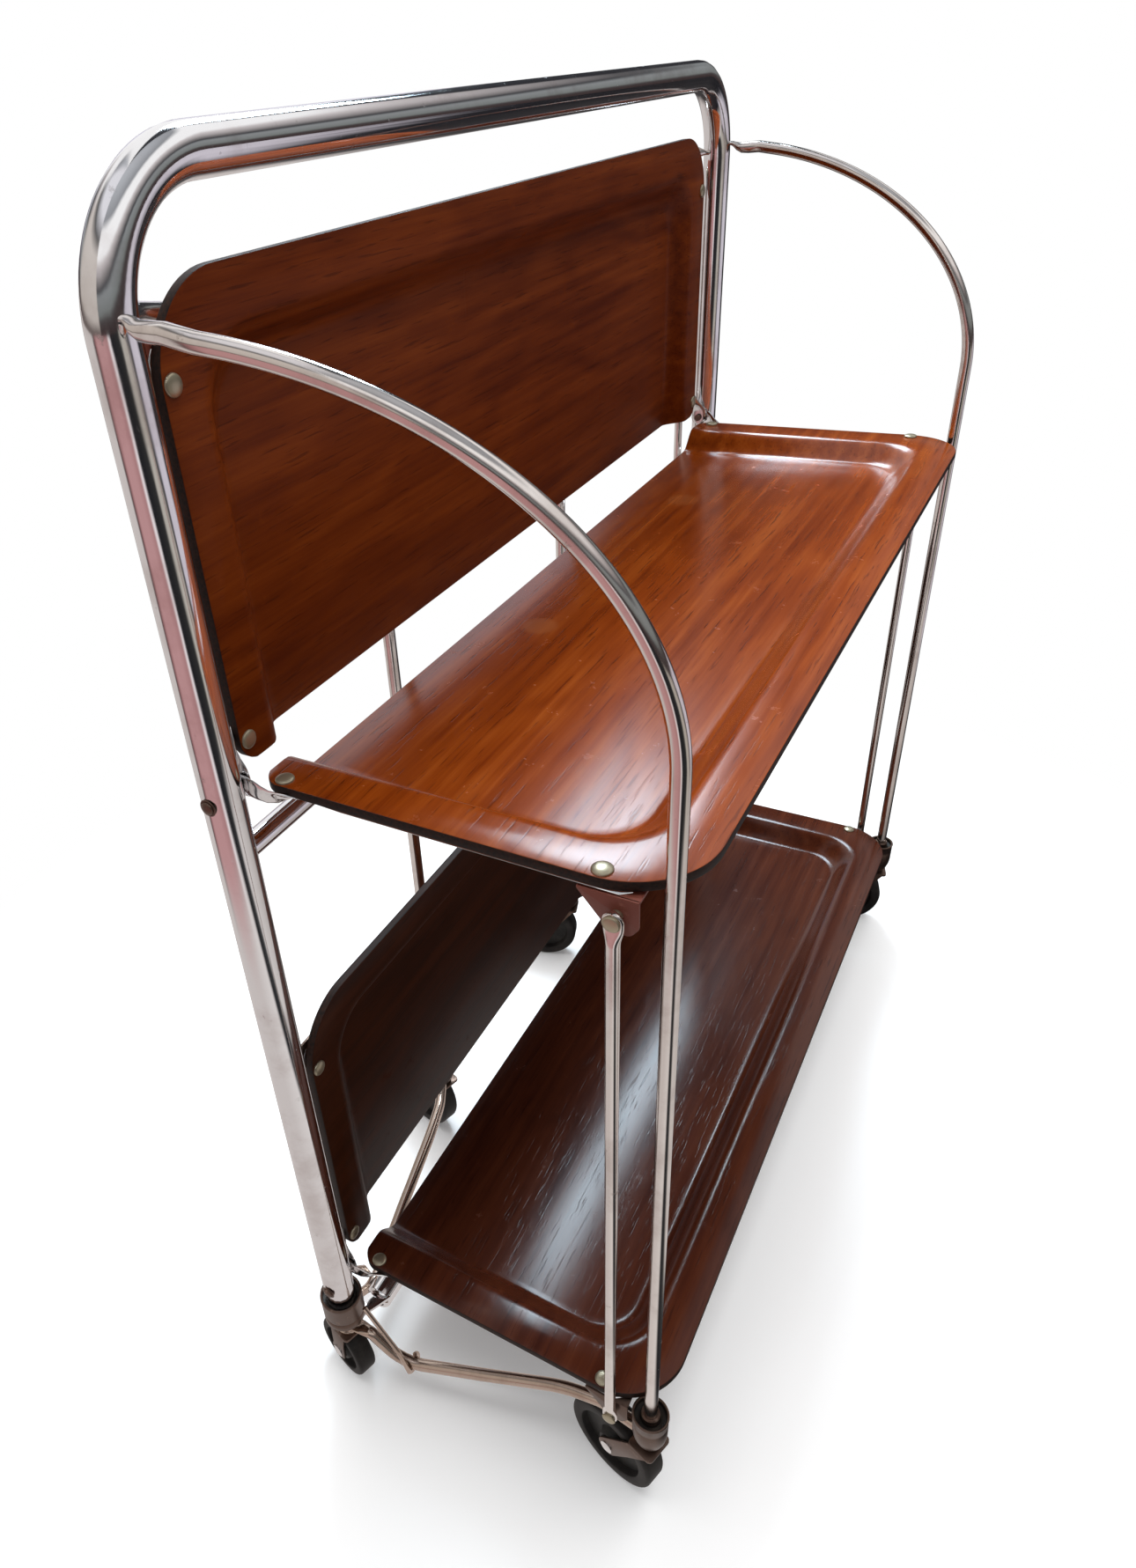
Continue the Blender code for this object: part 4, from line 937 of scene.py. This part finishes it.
# ---- bows ----
def build_bow(name, side, wing, angle, body):
    """Flat tongue out of the post, crank, quarter arc and leg, in one tube."""
    place = bow_place(side, wing, BOW_FOLDED, angle)
    leg = Vector((BOW_REACH * math.cos(BOW_FOLDED), BOW_REACH * math.sin(BOW_FOLDED), 0))
    eye = BOW_TOP - wing * EYE_STEP
    line = []
    for away, share in TONGUE_LINE:
        spot = CRANK.normalized() * away
        line.append(place(spot.x, spot.y, eye + (BOW_TOP - EYE_DROP - eye) * share))
    first = math.asin(CRANK.length / BOW_REACH)
    for step in range(1, BOW_ARC_STEPS + 1):
        lift = first + (math.pi / 2 - first) * step / BOW_ARC_STEPS
        share = (BOW_REACH * math.sin(lift) - CRANK.length) / (BOW_REACH - CRANK.length)
        spot = CRANK.lerp(leg, share)
        line.append(place(spot.x, spot.y, BOW_TOP - BOW_DROP * (1 - math.cos(lift))))
    line += [place(leg.x, leg.y, height) for height in BOW_LEG_LEVELS]
    bm = bmesh.new()
    sweep(bm, line_stations(line, BOW_TONGUE), 24)
    piece(f"{name}_tube", bm, [ROD], body, name)


def foot_line():
    """The foot tube's line with the bow open, from the post to the side of the caster cup."""
    leg = Vector((BOW_REACH * math.cos(BOW_OPEN), BOW_REACH * math.sin(BOW_OPEN)))
    last = Vector(FOOT_TUBE_LINE[-1][:2])
    share = (FOOT_TUBE_END + BOW_TUBE - CUP_BOTTOM) / (CUP_SHOULDER - CUP_BOTTOM)
    cone = CUP_CONE + (CUP - CUP_CONE) * min(share, 1)
    toward = (last - leg).normalized() * (cone - FOOT_TUBE_SUNK)
    return rounded([*FOOT_TUBE_LINE, (leg.x + toward.x, leg.y + toward.y, FOOT_TUBE_END)],
                   FOOT_TUBE_BENDS, 6)


def build_foot_tube(name, side, wing, angle, body):
    """Tube with a flat eye round the stem under the post."""
    place = bow_place(side, wing, BOW_OPEN, angle)
    top = FOOT_EYE_TOP[wing]
    tongue = Vector((*FOOT_TUBE_LINE[0][:2], 0)).normalized()
    level = top - FOOT_TONGUE.high
    line = [(tongue.x * away, tongue.y * away, level) for away in FOOT_TONGUE_AWAY]
    line += foot_line()[1:]
    bm = bmesh.new()
    sweep(bm, line_stations([place(*spot) for spot in line], FOOT_TONGUE), 20)
    ring = [(radius, top - depth) for radius, depth in FOOT_EYE_RING]
    turned(bm, [(ring, 0)], (side * POST_AT, 0, 0), UP, 28)
    piece(f"{name}_drawn", bm, [FOOT_ROD], body, name)


def build_wire_link(name, side, wing, angle, body):
    """Bent wire from beside the foot cup to a hook round the foot tube."""
    place = bow_place(side, wing, BOW_OPEN, angle)
    hook = BOW_TUBE + WIRE + WIRE_GAP
    spots = foot_line()
    after = next(index for index, spot in enumerate(spots) if spot.y > WIRE_HOOK_AT)
    share = (WIRE_HOOK_AT - spots[after - 1].y) / (spots[after].y - spots[after - 1].y)
    centre = spots[after - 1].lerp(spots[after], share)
    across = centre.x - hook
    line = rounded([(across, FOOT_CUP + 3 * WIRE, FOOT_CUP_RIM - 2 * WIRE),
                    (across, FOOT_CUP + 5 * WIRE, FOOT_CUP_RIM - 5 * WIRE),
                    (across, WIRE_HOOK_AT - hook, centre.z + 3 * hook),
                    (across, WIRE_HOOK_AT, centre.z)], [2 * hook, 2 * hook], 6)[:-1]
    for turn in arc(*WIRE_HOOK_TURN, WIRE_HOOK_STEPS):
        line.append(Vector((centre.x + hook * math.cos(turn), WIRE_HOOK_AT,
                            centre.z + hook * math.sin(turn))))
    tube_piece(f"{name}_bent", [([place(*spot) for spot in line], 1)], WIRE, FOOT_ROD, body,
               name)


def build_cup(name, spot, body):
    """Pressed bronze funnel round the leg's dark sleeve, drawn near black as painted shade inside
    the cup, with the headed stem of the fork.
    """
    bm = bmesh.new()
    turned(bm, [(CUP_SHELL, 0), (CUP_LINING, 1), (CUP_COLLAR, 2)], spot, UP, 40)
    piece(f"{name}_shell", bm, [BRONZE, SLEEVE_AND_SHADE, BRONZE], body, name)


# ---- casters ----
def build_fork(name, spot, side, caster, body):
    """Top plate, two cheeks that narrow to an eye, and the axle with its caps."""
    place, across = caster_place(spot, side)
    inner = caster.half + FORK_CLEAR
    outer = inner + SHEET
    back = -FORK_BACK * caster.stem
    front = FORK_FRONT * caster.stem
    bm = bmesh.new()
    line = rounded([(0, -outer, 0), (front, -outer, 0), (front, outer, 0), (back, outer, 0),
                    (back, -outer, 0), (-FORK_SEAM, -outer, 0)], [FORK_CORNER] * 4, 4)
    plate(bm, [(point.x, point.y) for point in line], caster.top - caster.thick, caster.top, place)

    heel = FORK_HEEL * back
    eye = FORK_EYE * caster.stem
    lap = caster.top - FORK_LAP
    lead = [(caster.trail + eye * math.cos(turn), caster.wheel + eye * math.sin(turn))
            for turn in arc(*FORK_EYE_ARC, FORK_EYE_STEPS)]
    waist = ((heel + lead[-1][0]) / 2 + FORK_WAIST[0],
             (caster.top + lead[-1][1]) / 2 + FORK_WAIST[1])
    outline = [(heel, lap), (front - FORK_LAP, lap), *lead, waist]
    for low, high in ((-outer, -inner), (inner, outer)):
        plate(bm, outline, low, high, lambda p, q, level: place(p, level, q), FORK_SOFT)

    axle = AXLE * caster.stem
    top, rim = (share * axle for share in AXLE_CAP)
    cap = outer + AXLE_CAP_HIGH
    profile = [(0, cap), (top, cap), (rim, cap - AXLE_CAP_SOFT), (rim, outer), (axle, outer)]
    turned(bm, [([*mirrored(profile), *reversed(profile)], 1)],
           place(caster.trail, 0, caster.wheel), across, 24)
    piece(f"{name}_pressed", bm, [BRONZE, STRIP], body, name)


def build_wheel(name, spot, side, caster, body):
    """Dark tyre round a thin web and a hub with the axle's bore."""
    place, across = caster_place(spot, side)
    radius, half = caster.wheel, caster.half
    bore = AXLE * caster.stem + WHEEL_PLAY
    hub = HUB * caster.stem
    web = WEB_HALF * half
    ring = TYRE_INSIDE * radius
    tread = [(ring, web), (ring + TYRE_STEP[0], web + TYRE_STEP[1])]
    tread += [(out * ring, high * half) for out, high in TYRE_LEDGE]
    tread += [(radius - TREAD_ROUND * half * (1 - math.sin(angle)),
               half * (TREAD_FLAT + TREAD_SIDE * math.cos(angle))) for angle in quarter(8)]
    tread.append((radius, 0))
    inside = [(bore, half), (hub - HUB_SOFT, half), (hub, half - HUB_SOFT),
              (HUB_FOOT[0] * hub, web + WEB_RISE), (HUB_FOOT[1] * hub, web),
              ((ring + hub) / 2, web - WEB_DIP[0]), (ring - WEB_RISE, web - WEB_DIP[1]),
              (ring, web)]
    zones = [(tread, 0), (mirrored(tread), 0), (inside, 1), (mirrored(inside), 1),
             ([(bore, half), (bore, -half)], 1)]
    bm = bmesh.new()
    turned(bm, zones, place(caster.trail, 0, radius), across, WHEEL_STEPS)
    piece(f"{name}_moulded", bm, [TYRE, WEB], body, name)


def build_caster(name, spot, side, caster):
    build_fork(f"{name}_caster_fork", spot, side, caster, f"{name}_caster_body")
    build_wheel(f"{name}_caster_wheel", spot, side, caster, f"{name}_wheel_body")


# ---- whole cart ----
def build_cart():
    build_frame()
    for name, side in SIDES:
        build_caster(f"{name}_foot", (side * POST_AT, 0, 0), side, FOOT_CASTER)
    for wing_name, wing, is_open in WINGS:
        angle = BOW_OPEN if is_open else BOW_FOLDED
        for level, hinge in LEVELS:
            place = wing_place(wing, is_open, hinge)
            name = f"{wing_name}_{level}"
            body = f"{name}_tray_body"
            build_tray(f"{name}_tray", place, body, TRAY_WOODS[level, is_open])
            for side_name, side in SIDES:
                build_arm(f"{name}_{side_name}_arm", place, side, wing, body)
                build_bracket(f"{name}_{side_name}_bracket", place, side, body,
                              BRACKET_FINISHES[level])
        for side_name, side in SIDES:
            name = f"{wing_name}_{side_name}"
            body = f"{name}_bow_body"
            build_link(f"{name}_link_rod", side, wing, is_open, f"{name}_link_body")
            build_bow(f"{name}_bow", side, wing, angle, body)
            build_foot_tube(f"{name}_bow_foot_tube", side, wing, angle, body)
            build_wire_link(f"{name}_wire_link", side, wing, angle, body)
            spot = bow_place(side, wing, 0, angle)(BOW_REACH, 0, 0)
            build_cup(f"{name}_caster_cup", spot, body)
            build_caster(name, spot, side, BOW_CASTER)


build_cart()


# ---- floor, lights, camera ----
WHITE = (1, 1, 1)
FLOOR_RADIUS = 14

# What the metal mirrors of the floor: (bearing in degrees, colour), near the cart and far from it.
PINK = (0.52, 0.29, 0.29)
BEIGE = (0.62, 0.57, 0.55)
DARK = (0.014, 0.014, 0.017)
FLOOR_FAR = (
    (-180, PINK), (-163, (0.42, 0.22, 0.22)), (-155, (0.92, 0.86, 0.87)), (-147, DARK),
    (-116, (0.03, 0.03, 0.03)), (-108, (0.5, 0.47, 0.42)), (-90, (0.42, 0.38, 0.34)),
    (-80, DARK), (-72, (0.6, 0.56, 0.62)), (-40, (0.64, 0.6, 0.66)), (-28, DARK),
    (25, (0.06, 0.055, 0.055)), (40, BEIGE), (132, BEIGE), (140, (0.08, 0.05, 0.05)),
    (146, (0.32, 0.16, 0.16)), (153, PINK), (180, PINK),
)
FLOOR_NEAR = (
    (-180, BEIGE), (-150, (0.74, 0.7, 0.68)), (-143, DARK), (-130, (0.05, 0.05, 0.05)),
    (-122, (0.66, 0.62, 0.6)), (-60, (0.5, 0.46, 0.44)), (-40, DARK), (20, (0.05, 0.04, 0.04)),
    (45, (0.48, 0.44, 0.42)), (100, BEIGE), (180, BEIGE),
)

# What the metal mirrors of the room: (height of the direction, colour) on each side.
ROOM = (
    (0, (0.05, 0.035, 0.035)), (0.08, (0.07, 0.06, 0.06)), (0.14, (0.2, 0.215, 0.21)),
    (0.3, (0.26, 0.275, 0.28)), (0.36, (0.05, 0.05, 0.055)), (0.45, (0.3, 0.28, 0.28)),
    (0.55, (0.62, 0.58, 0.58)), (0.61, (1, 1, 1)), (0.78, (1, 1, 1)),
    (0.84, (0.3, 0.31, 0.33)), (1, (0.5, 0.52, 0.55)),
)
LEFT_WALL = (
    (0, (0.16, 0.13, 0.12)), (0.1, (0.56, 0.51, 0.47)), (0.62, (0.64, 0.59, 0.55)),
    (0.74, (0.1, 0.1, 0.1)), (0.86, (0.8, 0.8, 0.84)),
)
WINDOW_SIDE = (
    (0.02, (0.1, 0.08, 0.1)), (0.09, (0.72, 0.7, 0.82)), (0.17, (0.86, 0.84, 0.94)),
    (0.2, (0.42, 0.38, 0.5)), (0.24, (0.9, 0.89, 0.97)), (0.32, (1, 1, 1)),
)
DARK_CORNER = (0.03, 0.03, 0.035)
SOFT_LIGHT = ((0, (0.16, 0.16, 0.165)), (0.5, (0.4, 0.4, 0.405)), (1, (0.92, 0.92, 0.93)))

# The photo's camera: place, turn in radians, focal length and view centre in the photo's pixels.
CAMERA_AT = Vector((-0.6054, -0.3089, 0.7515))
CAMERA_TURN = (0.6057, -0.5723, -0.1074)
PHOTO_WIDE = 1290
PHOTO_HIGH = 1781
FOCAL = 1198.94
VIEW_CENTRE = (486.37, 874.89)
SENSOR = 36


def build_floor():
    """Pale floor for the camera, a matt one for soft light, and a room's floor for reflections."""
    f = Finish(bpy.data.materials.new("pale_floor"))
    nodes = f.tree.nodes
    nodes.remove(nodes["Principled BSDF"])
    place = f.place()
    away = f.node("VectorMath", {0: place}, output="Value", operation="LENGTH")
    lifted = f.node("AddShader", {0: f.diffuse((0.9, 0.9, 0.9)), 1: f.emission(WHITE, 0.12)})
    seen = f.mix_shaders(f.mask(away, 0.18, 0.74), lifted, f.emission(WHITE))
    bearing = f.heading(place)[0]
    turn = bearing * (1 / math.tau) + 0.5 + (f.noise(place, 0.8, 2) * 0.05 - 0.025)
    near, far = (f.ramp(turn, *[((angle + 180) / 360, colour) for angle, colour in stops])
                 for stops in (FLOOR_NEAR, FLOOR_FAR))
    reflected = f.emission(f.mix(f.mask(away, 0.72, 1.02), near, far))
    camera_ray, glossy_ray = f.ray_kinds()
    unseen = f.mix_shaders(glossy_ray, f.diffuse((0.5, 0.48, 0.47)), reflected)
    f.feed(nodes["Material Output"], {0: f.mix_shaders(camera_ray, unseen, seen)})
    bm = bmesh.new()
    bmesh.ops.create_circle(bm, cap_ends=True, segments=96, radius=FLOOR_RADIUS)
    mesh_object("studio_floor", bm, [f.owner])


def build_world():
    """White for the camera, soft light from the right, and a room for reflections."""
    world = bpy.data.worlds.new("studio")
    bpy.context.scene.world = world
    f = Finish(world)
    camera_ray, glossy_ray = f.ray_kinds()
    place = f.node("TexCoord", output="Generated")
    bearing, across, height = f.heading(place)
    drift = f.noise(f.stretched(place, (1.2, 1.2, 3)), 1, 2)
    height = height + drift * 0.08 - 0.04
    before_window = f.mask(bearing, 0.47, 0.56)
    bands = f.mix(f.mask(bearing, 1.35, 1.75), f.ramp(height, *ROOM), f.ramp(height, *LEFT_WALL))
    bands = f.mix(before_window * (1 - f.mask(bearing, 1, 1.3)), bands,
                  f.ramp(height, *WINDOW_SIDE))
    bands = f.mix(f.mask(bearing, 0.08, 0.17) * (1 - before_window), bands, DARK_CORNER)
    colour = f.mix(glossy_ray, f.ramp(across * 0.5 + 0.5, *SOFT_LIGHT), bands)
    f.feed(f.tree.nodes["Background"], {"Color": f.mix(camera_ray, colour, WHITE),
                                        "Strength": 1})


def lamp(name, spot, target, size, watts, colour=WHITE):
    light = bpy.data.lights.new(name, "AREA")
    light.shape = "RECTANGLE"
    light.size, light.size_y = size
    light.energy = watts
    light.color = colour
    obj = new_object(name, light)
    spot = Vector(spot) + MIDDLE
    aim = (Vector(target) + MIDDLE) - spot
    obj.matrix_world = Matrix.Translation(spot) @ aim.to_track_quat("-Z", "Y").to_matrix().to_4x4()
    return obj


def build_camera():
    yaw, pitch, roll = CAMERA_TURN
    ahead = Vector((math.cos(pitch) * math.cos(yaw), math.cos(pitch) * math.sin(yaw),
                    math.sin(pitch)))
    right = Vector((math.sin(yaw), -math.cos(yaw), 0))
    upward = right.cross(ahead)
    turned_right = right * math.cos(roll) + upward * math.sin(roll)
    turned_up = upward * math.cos(roll) - right * math.sin(roll)
    data = bpy.data.cameras.new("photo_camera")
    data.sensor_fit = "VERTICAL"
    data.sensor_height = SENSOR
    data.lens = FOCAL * SENSOR / PHOTO_HIGH
    data.shift_x = (PHOTO_WIDE / 2 - VIEW_CENTRE[0]) / PHOTO_HIGH
    data.shift_y = (VIEW_CENTRE[1] - PHOTO_HIGH / 2) / PHOTO_HIGH
    data.clip_start = 0.01
    obj = new_object("photo_camera", data)
    turn = Matrix((turned_right, turned_up, -ahead)).transposed().to_4x4()
    obj.matrix_world = Matrix.Translation(CAMERA_AT + MIDDLE) @ turn
    bpy.context.scene.camera = obj


build_floor()
build_world()
lamp("window_behind", spot=(1.38, 0.71, 2.18), target=(-0.2, -0.13, 0.3), size=(0.62, 0.95),
     watts=44, colour=(0.72, 0.88, 1))
overhead = lamp("overhead", spot=(0.35, 0.05, 2.4), target=(0, -0.05, 0.3), size=(2.6, 2.6),
                watts=86)
overhead.visible_glossy = False
build_camera()
bpy.context.scene.view_settings.view_transform = "Standard"
